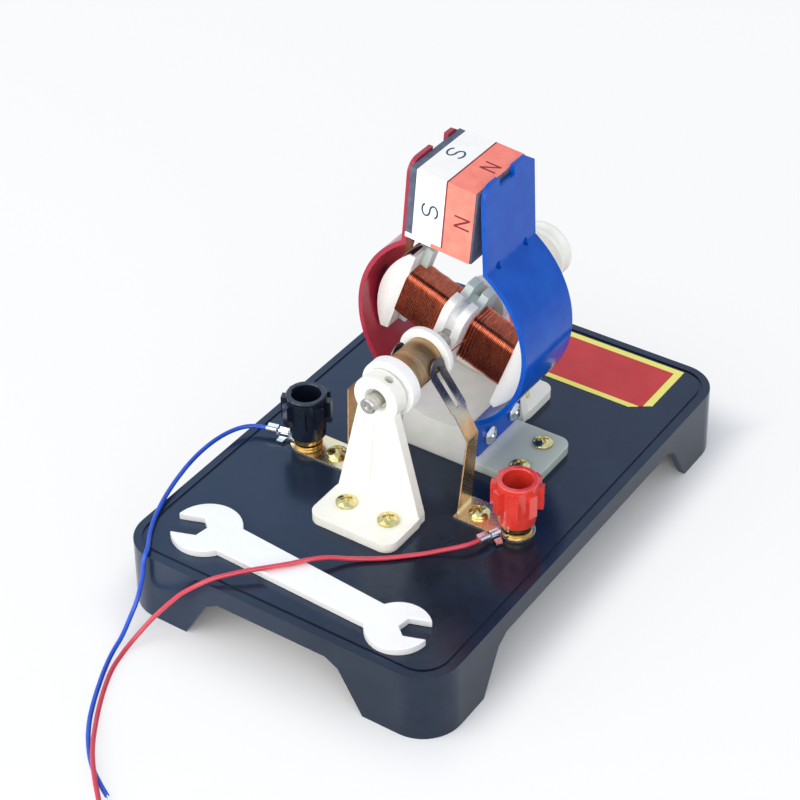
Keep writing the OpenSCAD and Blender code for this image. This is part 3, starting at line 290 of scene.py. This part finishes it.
def dress(name, bm, slot, body, replaced=(), finishes=None, limit=SHADE_LIMIT):
    """Makes a finished piece from a bmesh in metres and puts it on its body."""
    smooth_by_angle(bm, limit)
    mesh = bpy.data.meshes.new(name)
    bm.to_mesh(mesh)
    bm.free()
    piece = bpy.data.objects.new(name, mesh)
    scene.collection.objects.link(piece)
    for finish in finishes or [FINISH[slot]]:
        mesh.materials.append(finish)
    weighted = piece.modifiers.new("flat_faces_stay_flat", "WEIGHTED_NORMAL")
    weighted.keep_sharp = True
    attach(piece, body)
    if replaced:
        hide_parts(*replaced)
    return piece


def slot_of(node):
    """The record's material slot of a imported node."""
    return next(s["material_slot"] for s in frame["record"]["subparts"] if s["node"] == node)


def soften(name, node, radius):
    """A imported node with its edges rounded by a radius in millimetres."""
    bm = bmesh.new()
    bm.from_mesh(nodes[node].data)
    bmesh.ops.remove_doubles(bm, verts=bm.verts[:], dist=MERGE * MM)
    bmesh.ops.dissolve_limit(bm, angle_limit=math.radians(FLAT_LIMIT), verts=bm.verts[:],
        edges=bm.edges[:])
    for face in bm.faces:
        face.material_index = 0
    sharp = [edge for edge in bm.edges
        if len(edge.link_faces) == 2 and edge.calc_face_angle(0) > math.radians(EDGE_LIMIT)]
    bmesh.ops.bevel(bm, geom=sharp, offset=radius * MM, offset_type="OFFSET", segments=2,
        profile=0.5, affect="EDGES", clamp_overlap=True, material=-1)
    return dress(name, bm, slot_of(node), body_of_node[node], [node])


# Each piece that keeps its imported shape: its name, its node and the radius of its edges
SOFTENED = [
    ("tray_moulding", "base_tray", 0.5),
    ("front_bearing_bracket", "front_bracket", 0.5),
    ("rear_bearing_bracket", "rear_bracket", 0.5),
    ("bracket_pan_screws", "bracket_screws", 0.06),
    ("magnet_mount", "stator_mount", 0.45),
    ("mount_pan_screws", "mount_screws", 0.06),
    ("red_enamelled_plate", "red_pole_plate", 0.2),
    ("blue_enamelled_plate", "blue_pole_plate", 0.2),
    ("plate_side_screws", "pole_screws", 0.06),
    ("ferrite_block", "magnet", 0.25),
    ("rotor_shaft", "shaft", 0.1),
    ("commutator_moulding", "commutator_sleeve", 0.3),
    ("commutator_upper_shell", "upper_shell", 0.08),
    ("commutator_lower_shell", "lower_shell", 0.08),
    ("armature_iron", "armature_core", 0.1),
    ("armature_front_moulding", "front_frame", 0.25),
    ("armature_rear_moulding", "rear_frame", 0.25),
    ("belt_wheel", "rear_pulley", 0.2),
    ("left_brush_strip", "left_brush", 0.1),
    ("right_brush_strip", "right_brush", 0.1),
    ("brush_pan_screws", "brush_screws", 0.06),
    ("post_studs", "terminal_studs", 0.15),
    ("post_washers", "terminal_washers", 0.15),
    ("red_post_cap", "red_cap", 0.3),
    ("black_post_cap", "black_cap", 0.3),
    ("double_ended_spanner", "spanner", 0.3),
]

# Leads, in millimetres: their diameter, and how far the insulation reaches into its crimp
LEAD_D, LEAD_GRIP = 1.4, 1.8
# Each bare end has three strands: a strand's radius, also the twist's, and the turns that it makes
STRAND_R, STRAND_TURNS, STRAND_STEPS = 0.17, 1.2, 24
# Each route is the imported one. A tip is where the bare end stops
BLUE_ROUTE = [
    (-47.6, -18.2, 24.9), (-50.6, -19, 24.9), (-53.3, -20.6, 25), (-55.4, -23.2, 25.1),
    (-56.9, -26.8, 25.2), (-57.9, -31.4, 25.2), (-58.3, -37, 25.1), (-58.1, -43, 24.9),
    (-57.2, -50, 24.5), (-55.8, -57, 24), (-54, -63.4, 23.5), (-51.6, -69.5, 23.3),
    (-48.6, -75.2, 23.3), (-46.3, -78.5, 23.7), (-44.5, -81.2, 24), (-43.8, -83.2, 23.2),
    (-43.6, -84.4, 21.4), (-43.8, -85, 17.6), (-44.6, -85.7, 12.8), (-45, -87.6, 8.2),
    (-44.8, -91.4, 4.6), (-43.8, -96.4, 2.1), (-42.7, -102, 0.9), (-40.6, -107.6, 0.75),
    (-37.4, -114.4, 0.75), (-33.9, -121, 0.75), (-29.6, -127.8, 0.75), (-24.4, -134, 0.75),
    (-18.6, -139.2, 0.75), (-12.8, -142.8, 0.75), (-8.6, -145, 0.75)]
BLUE_TIP = (-4.9, -146.8, 0.5)
RED_ROUTE = [
    (33.8, -26.7, 24.9), (32.6, -29.5, 24.9), (31.2, -31.6, 24.8), (29.4, -33.4, 24.5),
    (26.8, -35.6, 24), (23.4, -38.6, 23.4), (19.2, -42.6, 23.3), (14.8, -46.6, 23.3),
    (10.4, -50, 23.4), (6, -53.4, 23.9), (2.2, -57, 25.1), (-1.4, -61.2, 25.8),
    (-4.8, -65.4, 25.8), (-8.8, -69.8, 25.8), (-13.2, -74.2, 25.6), (-17.6, -78.4, 24.9),
    (-21, -81.8, 24.1), (-23.4, -84, 22.8), (-26.1, -85.2, 20.6), (-29, -85.8, 17.8),
    (-32, -86.7, 14.2), (-34.8, -88.1, 10.6), (-37.4, -90.4, 7), (-39.2, -93.4, 3.9),
    (-40.2, -97.2, 1.6), (-39.8, -102, 0.8), (-38.4, -107.4, 0.75), (-35.4, -114.2, 0.75),
    (-31.8, -120.8, 0.8), (-27.4, -127.6, 1.3), (-22.4, -134.4, 2.3), (-18.4, -139, 2.5),
    (-14.4, -143, 2.1), (-10.6, -146.4, 1.2), (-7.4, -149.2, 0.75)]
RED_TIP = (-3.6, -149.3, 0.5)


def wire(name, points, diameter, slot, body):
    """Round wire through points in millimetres, as one smooth curve with closed ends."""
    line = bpy.data.curves.new(name, "CURVE")
    line.dimensions = "3D"
    line.bevel_depth = diameter / 2 * MM
    line.bevel_resolution, line.resolution_u, line.use_fill_caps = 4, 6, True
    run = line.splines.new("BEZIER")
    run.bezier_points.add(len(points) - 1)
    for knot, point in zip(run.bezier_points, points):
        knot.co = Vector(point) * MM
        knot.handle_left_type = knot.handle_right_type = "AUTO"
    line.materials.append(FINISH[slot])
    piece = bpy.data.objects.new(name, line)
    scene.collection.objects.link(piece)
    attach(piece, body)
    return piece


def strands(name, start, end, body):
    """Twisted bare end of a lead: three tinned strands between two points in millimetres."""
    a, b = Vector(start), Vector(end)
    along = (b - a).normalized()
    side = along.cross(Vector((0, 0, 1))).normalized()
    lift = side.cross(along)
    square = along.to_track_quat("Z", "Y").to_matrix().to_4x4()
    bm = bmesh.new()
    for strand in range(3):
        ring = None
        for i in range(STRAND_STEPS + 1):
            angle = 2 * math.pi * (strand / 3 + STRAND_TURNS * i / STRAND_STEPS)
            off = STRAND_R * (side * math.cos(angle) + lift * math.sin(angle))
            centre = a + (b - a) * i / STRAND_STEPS + off
            made = bmesh.ops.create_circle(bm, segments=8, radius=STRAND_R * MM,
                cap_ends=i in (0, STRAND_STEPS), matrix=Matrix.Translation(centre * MM) @ square)
            edges = {e for v in made["verts"] for e in v.link_edges}
            if ring:
                bmesh.ops.bridge_loops(bm, edges=list(ring | edges))
            ring = edges
    bmesh.ops.recalc_face_normals(bm, faces=bm.faces[:])
    return dress(name, bm, "tinned_copper", body)


def lay_leads():
    """The two test leads with their bare ends and their crimped ends."""
    for name, route, tip, slot, node, length in (
        ("blue_test_lead", BLUE_ROUTE, BLUE_TIP, "blue_pvc", "blue_lead", 0.163),
        ("red_test_lead", RED_ROUTE, RED_TIP, "red_pvc", "red_lead", 0.178),
    ):
        lead = wire(name, route, LEAD_D, slot, "stand")
        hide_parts(node)
        bare = strands(name + "_bare_end", route[-1], tip, "stand")
        # The insulation's end, held in the lug's wider crimp
        onward = (Vector(route[1]) - Vector(route[0])).normalized()
        gripped = Vector(route[0]) - onward * LEAD_GRIP
        held = wire(name + "_crimped_end", [gripped, route[0]], LEAD_D, slot, "stand")


# Armature's own frame: the pole axis leans down to the right by this angle, about the shaft
LEAN = math.radians(20)
SHAFT_Z = 62.75
AT_ARMATURE = Matrix.Translation((0, 0, SHAFT_Z * MM)) @ Matrix.Rotation(LEAN, 4, "Y")

# Coil: first and last turn from the shaft, section's middle, half sizes and corner radius
COIL_X = (4.1, 19.2)
COIL_MID_Y, COIL_HALF_Y, COIL_HALF_Z, COIL_CORNER = 15.35, 5.0, 8.25, 2.2
# Wire: the turns' pitch, drawn coarser than the real wire so that it shows, a turn's height over
# the groove between two, and its section as shares of that height at each quarter of the pitch
WIRE_PITCH, WIRE_BULGE, WIRE_ROUND = 0.5, 0.2, (-0.5, 0.6, 1, 0.6)
# The first turns, by the hub, lie loose on the layer below. The others are wound in a low wave
LOOSE_TURNS = (0.22, -0.24, 0.2, -0.12, 0.22, -0.06, 0.08)
WAVE_HEIGHT, WAVE_STEP = 0.06, 0.6
# Vertices of a coil nearer than this are one, and its turns stay smooth up to this angle
COIL_MERGE, COIL_SHADE_LIMIT = 0.02, 70


def wind_coil(name, node, side):
    """Coil wound of round wire: one line of turns, swept round the coil's section."""
    bm = bmesh.new()
    a, b = COIL_HALF_Y - COIL_CORNER, COIL_HALF_Z - COIL_CORNER
    line = []
    x, turn = COIL_X[0], 0
    while x < COIL_X[1]:
        wave = WAVE_HEIGHT * math.sin(WAVE_STEP * turn)
        level = COIL_HALF_Z + (LOOSE_TURNS[turn] if turn < len(LOOSE_TURNS) else wave)
        for step, height in enumerate(WIRE_ROUND):
            spot = (x + WIRE_PITCH * step / 4, COIL_MID_Y + a, level + WIRE_BULGE * height)
            line.append(bm.verts.new(Vector(spot) * MM))
        x, turn = x + WIRE_PITCH, turn + 1
    edges = [bm.edges.new(pair) for pair in zip(line, line[1:])]
    # Round each corner of the section, then straight on to the next
    for corner, run in (((a, b), (0, 0, -2 * b)), ((a, -b), (0, -2 * a, 0)),
            ((-a, -b), (0, 0, 2 * b)), ((-a, b), (0, 2 * a, 0))):
        centre = Vector((0, COIL_MID_Y + corner[0], corner[1])) * MM
        made = bmesh.ops.spin(bm, geom=line + edges, cent=centre, axis=(1, 0, 0), dvec=(0, 0, 0),
            angle=-math.pi / 2, steps=6, use_merge=False, use_duplicate=False)["geom_last"]
        edges = [g for g in made if isinstance(g, bmesh.types.BMEdge)]
        made = bmesh.ops.extrude_edge_only(bm, edges=edges)["geom"]
        line = [g for g in made if isinstance(g, bmesh.types.BMVert)]
        edges = [g for g in made if isinstance(g, bmesh.types.BMEdge)]
        bmesh.ops.translate(bm, verts=line, vec=Vector(run) * MM)
    bmesh.ops.remove_doubles(bm, verts=bm.verts[:], dist=COIL_MERGE * MM)
    bmesh.ops.holes_fill(bm, edges=[e for e in bm.edges if len(e.link_faces) == 1], sides=0)
    bmesh.ops.scale(bm, vec=(side, 1, 1), verts=bm.verts[:])
    bmesh.ops.transform(bm, matrix=AT_ARMATURE, verts=bm.verts[:])
    bmesh.ops.recalc_face_normals(bm, faces=bm.faces[:])
    return dress(name, bm, "enamelled_copper", "rotor", [node],
        limit=COIL_SHADE_LIMIT)


# Coil tail, from its shell to its coil: along the pole axis, along the shaft, square to both
TAIL_D = 0.4
TAIL_ROUTE = [(4.9, -7, 2.2), (4.9, -4, 2.2), (4.8, -1, 1.8), (4.8, 3, 1.4), (5, 7.2, 1.4),
    (5.6, 10.4, 2)]


def join_coil_tails():
    """The thin wire ends that run from each coil through the flange to its brass shell."""
    for name, side in (("upper_coil_tail", 1), ("lower_coil_tail", -1)):
        placed = [AT_ARMATURE @ (Vector((side * x, y, side * z)) * MM) / MM
            for x, y, z in TAIL_ROUTE]
        wire(name, placed, TAIL_D, "enamelled_copper", "rotor")


# Lugs: each one's name, node, stud's middle and turn in degrees
LUGS = (
    ("red_crimp_lug", "red_lug", (38.7, -15.2), 247),
    ("blue_crimp_lug", "blue_lug", (-35.5, -15.2), 194),
)
# The lug's sheet, along +X from the stud: height over the floor, thickness and ring's radii
LUG_Z, LUG_SHEET, LUG_OUTER_R, LUG_INNER_R = 24.0, 0.45, 3.7, 2.15
# Its flat parts as corners, their heights from the sheet's: the neck to the ring, one side of the
# wire crimp that was left open, and the strip between the two crimps
LUG_FLATS = (
    ((3.1, -1.9, 0), (6.4, -1.5, 0), (6.4, 1.5, 0), (3.1, 1.9, 0)),
    ((6.5, 1.4, 0), (8.9, 1.3, 0), (9.3, 3.2, -0.4), (7.3, 3.5, -0.4)),
    ((9.3, -0.7, 0), (10.4, -0.7, -0.05), (10.4, 0.7, -0.05), (9.3, 0.7, 0)),
)
# Its crimps: start, length, radius, middle's height from the sheet's and opening in degrees
LUG_CRIMPS = ((6.3, 3.1, 1.15, 1.1, 60), (10, 3.4, 1.45, 1.35, 105))
# Where the two turned-down edges of a crimp end: from its middle plane in millimetres, and over
# its middle as a share of its radius
LIP_APART, LIP_HEIGHT = 0.1, 0.25


def crimp(bm, start, length, radius, height, open_angle):
    """Sheet rolled round a wire along +X, with its two edges turned down into the middle."""
    first = bm.verts.new(Vector((start, 0, height - radius)) * MM)
    for way in (1, -1):
        made = bmesh.ops.spin(bm, geom=[first], cent=Vector((start, 0, height)) * MM,
            axis=(1, 0, 0), dvec=(0, 0, 0), angle=way * math.radians(180 - open_angle / 2),
            steps=9, use_merge=False, use_duplicate=False)["geom_last"]
        last = next(g for g in made if isinstance(g, bmesh.types.BMVert))
        lip = Vector((start, way * LIP_APART, height + LIP_HEIGHT * radius))
        bm.edges.new((last, bm.verts.new(lip * MM)))
    line = [edge for edge in bm.edges
        if not edge.link_faces and all(abs(v.co.x - start * MM) < SAME for v in edge.verts)]
    made = bmesh.ops.extrude_edge_only(bm, edges=line)["geom"]
    moved = [g for g in made if isinstance(g, bmesh.types.BMVert)]
    bmesh.ops.translate(bm, verts=moved, vec=(length * MM, 0, 0))


def press_lug(name, node, at, turn):
    """Crimp lug: ring round the stud, neck, wire crimp and wider insulation crimp."""
    bm = bmesh.new()
    outer, inner = (
        bmesh.ops.create_circle(bm, segments=40, radius=radius * MM, cap_ends=False)["verts"]
        for radius in (LUG_OUTER_R, LUG_INNER_R)
    )
    rims = list({e for v in outer + inner for e in v.link_edges})
    bmesh.ops.bridge_loops(bm, edges=rims)
    bmesh.ops.translate(bm, verts=bm.verts[:], vec=(0, 0, LUG_Z * MM))
    for start, length, radius, height, open_angle in LUG_CRIMPS:
        crimp(bm, start, length, radius, LUG_Z + height, open_angle)
    for corners in LUG_FLATS:
        bm.faces.new([bm.verts.new(Vector((x, y, LUG_Z + z)) * MM) for x, y, z in corners])
    bmesh.ops.recalc_face_normals(bm, faces=bm.faces[:])
    bmesh.ops.solidify(bm, geom=bm.faces[:], thickness=LUG_SHEET * MM)
    bmesh.ops.rotate(bm, cent=(0, 0, 0), matrix=Matrix.Rotation(math.radians(turn), 3, "Z"),
        verts=bm.verts[:])
    bmesh.ops.translate(bm, verts=bm.verts[:], vec=(at[0] * MM, at[1] * MM, 0))
    return dress(name, bm, "tinned_copper", "stand", [node])


# Name plate: widths of its yellow border at the sides, front and rear, its cut corner, and how far
# the print's underside stands off the tray
BORDER_SIDE, BORDER_FRONT, BORDER_REAR = 2.4, 1.8, 2.3
PLATE_CLIP = (6.2, 4.4)
PLATE_LIFT = 0.02


def print_plate():
    """Name plate, bare of lettering: a red field in a yellow border, with one corner cut off."""
    low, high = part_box("name_plate")
    inner_low = low + Vector((BORDER_SIDE, BORDER_FRONT, 0)) * MM
    inner_high = high - Vector((BORDER_SIDE, BORDER_REAR, 0)) * MM
    bm = bmesh.new()
    corners = ((low.x, low.y), (high.x, low.y), (high.x, high.y), (low.x, high.y))
    bm.faces.new([bm.verts.new((x, y, low.z + PLATE_LIFT * MM)) for x, y in corners])
    for place, normal in ((inner_low, (1, 0, 0)), (inner_low, (0, 1, 0)),
            (inner_high, (1, 0, 0)), (inner_high, (0, 1, 0))):
        bmesh.ops.bisect_plane(bm, geom=bm.verts[:] + bm.edges[:] + bm.faces[:], dist=SAME,
            plane_co=place, plane_no=normal)
    cut = Vector((high.x - PLATE_CLIP[0] * MM, low.y, 0))
    bmesh.ops.bisect_plane(bm, geom=bm.verts[:] + bm.edges[:] + bm.faces[:], dist=SAME,
        plane_co=cut, plane_no=(PLATE_CLIP[1], -PLATE_CLIP[0], 0), clear_outer=True)
    for face in bm.faces:
        middle = face.calc_center_median()
        inside = inner_low.x < middle.x < inner_high.x and inner_low.y < middle.y < inner_high.y
        face.material_index = 0 if inside else 1
    risen = bmesh.ops.extrude_face_region(bm, geom=bm.faces[:], use_keep_orig=True)["geom"]
    bmesh.ops.translate(bm, verts=[g for g in risen if isinstance(g, bmesh.types.BMVert)],
        vec=(0, 0, high.z - low.z - PLATE_LIFT * MM))
    bmesh.ops.recalc_face_normals(bm, faces=bm.faces[:])
    return dress("printed_name_plate", bm, "printed_plate", "stand", ["name_plate"],
        [FINISH["printed_plate"], YELLOW_PRINT])


# Magnet's own frame: its lean, half depth, half height and papers, as packed
MAGNET_LEAN = math.radians(5.3)
MAGNET_HALF_Y, MAGNET_HALF_Z, PAPER_T = 12.6, 11.8, 0.2
magnet_low, magnet_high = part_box("magnet")
AT_MAGNET = (Matrix.Translation((magnet_low + magnet_high) / 2)
    @ Matrix.Rotation(MAGNET_LEAN, 4, "Y"))
PAPER_FRONT, PAPER_TOP = -MAGNET_HALF_Y - PAPER_T, MAGNET_HALF_Z + PAPER_T
# Seam between the papers, a painted shadow line: its place right of the magnet's middle, its half
# width, its lower end and how far it stands off the paper
SEAM_X, SEAM_HALF, SEAM_FOOT, SEAM_LIFT = 1.2, 0.25, -11.6, 0.03
# Letters: height along the magnet's width, width, stroke, and how far they stand off the paper
LETTER_H, LETTER_W, STROKE, INK_T = 5.1, 3.9, 0.58, 0.03
# Each letter's place: across and up on the front paper, across and back on the top one
LETTERS = (
    ("south_mark", "S", (-3.6, 0.1), (-4.7, 0.7), TEAL_INK, "white_paper"),
    ("north_mark", "N", (7.0, 0.6), (6.6, 0.9), RED_INK_AND_SEAM_SHADE, "orange_paper"),
)


def letter_outline(letter):
    """Outline of a pole letter in millimetres, upright and round its own middle."""
    w, h = LETTER_W / 2, LETTER_H / 2
    if letter == "N":
        # Height of the slanting stroke where it meets an upright one
        slope = 1.9 * STROKE
        return [(-w, -h), (-w, h), (-w + STROKE, h), (w - STROKE, -h + slope), (w - STROKE, h),
            (w, h), (w, -h), (w - STROKE, -h), (-w + STROKE, h - slope), (-w + STROKE, -h)]
    # S: its upper bowl from 20 to 270 degrees, and the same turned round for the lower one
    turns = [math.radians(20 + 250 * i / 14) for i in range(15)]
    bowl = [Vector((w * math.cos(t), h / 2 + h / 2 * math.sin(t))) for t in turns]
    middle = bowl + [-point for point in reversed(bowl)][1:]
    left, right = [], []
    for i, point in enumerate(middle):
        along = (middle[min(i + 1, len(middle) - 1)] - middle[max(i - 1, 0)]).normalized()
        across = Vector((-along.y, along.x)) * STROKE / 2
        left.append(point + across)
        right.append(point - across)
    return left + right[::-1]


def print_letter(name, letter, ink, slot, middle, on_top):
    """Thin printed letter on the magnet's front or top paper, its head towards +X."""
    bm = bmesh.new()
    face = bm.faces.new(
        [bm.verts.new(Vector((y, -x, -INK_T)) * MM) for x, y in letter_outline(letter)])
    risen = bmesh.ops.extrude_face_region(bm, geom=[face], use_keep_orig=True)["geom"]
    bmesh.ops.translate(bm, verts=[g for g in risen if isinstance(g, bmesh.types.BMVert)],
        vec=(0, 0, 2 * INK_T * MM))
    bmesh.ops.recalc_face_normals(bm, faces=bm.faces[:])
    if not on_top:
        bmesh.ops.rotate(bm, cent=(0, 0, 0), matrix=Matrix.Rotation(math.pi / 2, 3, "X"),
            verts=bm.verts[:])
    bmesh.ops.transform(bm, matrix=AT_MAGNET @ Matrix.Translation(Vector(middle) * MM),
        verts=bm.verts[:])
    return dress(name, bm, slot, "bar_magnet", finishes=[ink])


# Folded lower edges of the papers: start and end across, how far each stands off the front paper,
# its upper edge and slot. Both reach this far back into the paper
PAPER_FOLDS = (
    ("under_paper_white", -11.15, -2.4, 0.02, -10.2, "white_paper"),
    ("under_paper_salmon", -2.4, 10.6, 0.04, -10.4, "orange_paper"),
)
FOLD_BACK = 0.18
# Width of a strip's bevelled edges
STRIP_EDGE = 0.04


def sheet_strip(name, low, high, slot, finish=None):
    """Thin strip of paper or print in the magnet's frame, given by its two corners."""
    bm = bmesh.new()
    size = Vector(high) - Vector(low)
    bmesh.ops.create_cube(bm, size=1)
    bmesh.ops.scale(bm, vec=size * MM, verts=bm.verts[:])
    bmesh.ops.translate(bm, vec=(Vector(low) + size / 2) * MM, verts=bm.verts[:])
    bmesh.ops.bevel(bm, geom=bm.edges[:], offset=STRIP_EDGE * MM, offset_type="OFFSET",
        segments=1, profile=0.5, affect="EDGES", clamp_overlap=True, material=-1)
    bmesh.ops.transform(bm, matrix=AT_MAGNET, verts=bm.verts[:])
    return dress(name, bm, slot, "bar_magnet", finishes=[finish or FINISH[slot]])


def dress_magnet():
    """Papers, letters, painted seam shadow line and folded lower edges on the magnet."""
    for node in ("south_paper", "north_paper"):
        nodes[node].data.materials.clear()
        nodes[node].data.materials.append(FINISH[slot_of(node)])
    front, top = PAPER_FRONT, PAPER_TOP
    for name, letter, at_front, at_top, ink, slot in LETTERS:
        print_letter(name + "_front", letter, ink, slot, (at_front[0], front, at_front[1]), False)
        print_letter(name + "_top", letter, ink, slot, (at_top[0], at_top[1], top), True)
    # Painted shadow line along the papers' seam, on the front paper and on the top one
    left, right = SEAM_X - SEAM_HALF, SEAM_X + SEAM_HALF
    sheet_strip("seam_shadow_front", (left, front - SEAM_LIFT, SEAM_FOOT), (right, front + SEAM_LIFT, top),
        "orange_paper", RED_INK_AND_SEAM_SHADE)
    sheet_strip("seam_shadow_top", (left, front, top - SEAM_LIFT), (right, -front, top + SEAM_LIFT),
        "orange_paper", RED_INK_AND_SEAM_SHADE)
    for name, start, end, lift, height, slot in PAPER_FOLDS:
        sheet_strip(name, (start, front - lift, -MAGNET_HALF_Z), (end, front + FOLD_BACK, height),
            slot)


# Stage

# Soft lights: place and size in metres, and power in watts
SOFTBOXES = (
    ("key_softbox", (-0.5, -0.7, 0.95), 0.9, 2.8),
    ("front_softbox", (0.1, -1.1, 0.45), 1.1, 5.8),
    ("side_softbox", (0.8, -0.75, 0.5), 0.7, 3.6),
    ("left_softbox", (-0.65, -0.85, 0.35), 0.6, 2.6),
)
# The point that they are turned to
LIT_POINT = (0, 0, 0.04)
# Strength of the white room's light, and of what metal and gloss mirror from low to high
ROOM_LIGHT, MIRRORED_LIGHT = 0.72, (1.0, 1.2)
# Floor: half its size in metres, and how far under the feet it lies, in millimetres
FLOOR_HALF, FLOOR_DROP = 4, 0.02
# The paper's own glow starts and is full at these shares of the tray's half sizes, in millimetres
TRAY_HALF = (55.5, 83.3)
GLOW_START, GLOW_FULL, GLOW_SHARE = 0.98, 1.25, 0.75


def light_stage():
    """Plain pale floor, four large soft lights and a white room."""
    for name, place, size, power in SOFTBOXES:
        lamp = bpy.data.lights.new(name, "AREA")
        lamp.size, lamp.energy = size, power
        lamp.color = tint("#fffaf0")[:3]
        holder = bpy.data.objects.new(name, lamp)
        scene.collection.objects.link(holder)
        holder.location = place
        holder.rotation_mode = "QUATERNION"
        aim = Vector(LIT_POINT) - Vector(place)
        holder.rotation_quaternion = aim.to_track_quat("-Z", "Y")
    world = bpy.data.worlds.new("white_room")
    scene.world = world
    world.use_nodes = True
    tree = world.node_tree
    back = tree.nodes["Background"]
    ray = add(tree, "ShaderNodeLightPath").outputs
    sky = add(tree, "ShaderNodeTexCoord").outputs["Generated"]
    height = add(tree, "ShaderNodeSeparateXYZ", links={0: sky})
    dome = add(tree, "ShaderNodeMapRange", {"From Min": 0.1, "From Max": 0.55,
        "To Min": MIRRORED_LIGHT[0], "To Max": MIRRORED_LIGHT[1]}, {"Value": height.outputs["Z"]})
    seen = add(tree, "ShaderNodeMath",
        links={0: ray["Is Glossy Ray"], 1: ray["Is Transmission Ray"]}, operation="MAXIMUM")
    mirrored = add(tree, "ShaderNodeMix", {2: ROOM_LIGHT},
        {0: seen.outputs[0], 3: dome.outputs["Result"]})
    # The camera sees the room as plain white
    shown = add(tree, "ShaderNodeMix", {3: 1.0}, {0: ray["Is Camera Ray"], 2: mirrored.outputs[0]})
    tree.links.new(shown.outputs[0], back.inputs["Strength"])
    # Daylight white, and bluer where metal and gloss mirror it
    cast = add(tree, "ShaderNodeMix", {6: tint("#f1f6ff"), 7: tint("#d6e6ff")},
        {0: seen.outputs[0]}, data_type="RGBA")
    tree.links.new(cast.outputs[2], back.inputs["Color"])
    bm = bmesh.new()
    bmesh.ops.create_grid(bm, x_segments=1, y_segments=1, size=FLOOR_HALF)
    bmesh.ops.translate(bm, verts=bm.verts[:], vec=(0, 0, -FLOOR_DROP * MM))
    mesh = bpy.data.meshes.new("floor")
    bm.to_mesh(mesh)
    bm.free()
    floor = bpy.data.objects.new("floor", mesh)
    scene.collection.objects.link(floor)
    paper = bpy.data.materials.new("white_backdrop_paper")
    mesh.materials.append(paper)
    paper.use_nodes = True
    tree = paper.node_tree
    face = tree.nodes["Principled BSDF"]
    face.inputs["Base Color"].default_value = tint("#f8f9fb")
    face.inputs["Roughness"].default_value = 0.9
    face.inputs["Specular IOR Level"].default_value = 0.0
    glow = add(tree, "ShaderNodeEmission", {"Color": tint("#fdfeff"), "Strength": 1.0})
    ray = add(tree, "ShaderNodeLightPath").outputs
    # The paper glows all round to the camera, and keeps its shade under and beside the tray
    spot = add(tree, "ShaderNodeTexCoord").outputs["Object"]
    scale = (1 / (TRAY_HALF[0] * MM), 1 / (TRAY_HALF[1] * MM), 0)
    reach = add(tree, "ShaderNodeMapping", {"Scale": scale}, {"Vector": spot})
    sides = add(tree, "ShaderNodeVectorMath", links={0: reach.outputs["Vector"]},
        operation="ABSOLUTE")
    split = add(tree, "ShaderNodeSeparateXYZ", links={0: sides.outputs["Vector"]}).outputs
    edge = add(tree, "ShaderNodeMath", links={0: split["X"], 1: split["Y"]}, operation="MAXIMUM")
    lit = add(tree, "ShaderNodeMapRange",
        {"From Min": GLOW_START, "From Max": GLOW_FULL, "To Max": GLOW_SHARE},
        {"Value": edge.outputs[0]}, interpolation_type="SMOOTHSTEP")
    share = add(tree, "ShaderNodeMath", links={0: ray["Is Camera Ray"], 1: lit.outputs["Result"]},
        operation="MULTIPLY")
    mixed = add(tree, "ShaderNodeMixShader",
        links={0: share.outputs[0], 1: face.outputs[0], 2: glow.outputs[0]})
    tree.links.new(mixed.outputs[0], tree.nodes["Material Output"].inputs["Surface"])


place_camera()
lay_leads()
for name, node, radius in SOFTENED:
    soften(name, node, radius)
wind_coil("right_winding", "right_coil", 1)
wind_coil("left_winding", "left_coil", -1)
join_coil_tails()
for lug in LUGS:
    press_lug(*lug)
print_plate()
dress_magnet()
light_stage()
scene.view_settings.view_transform = "Standard"
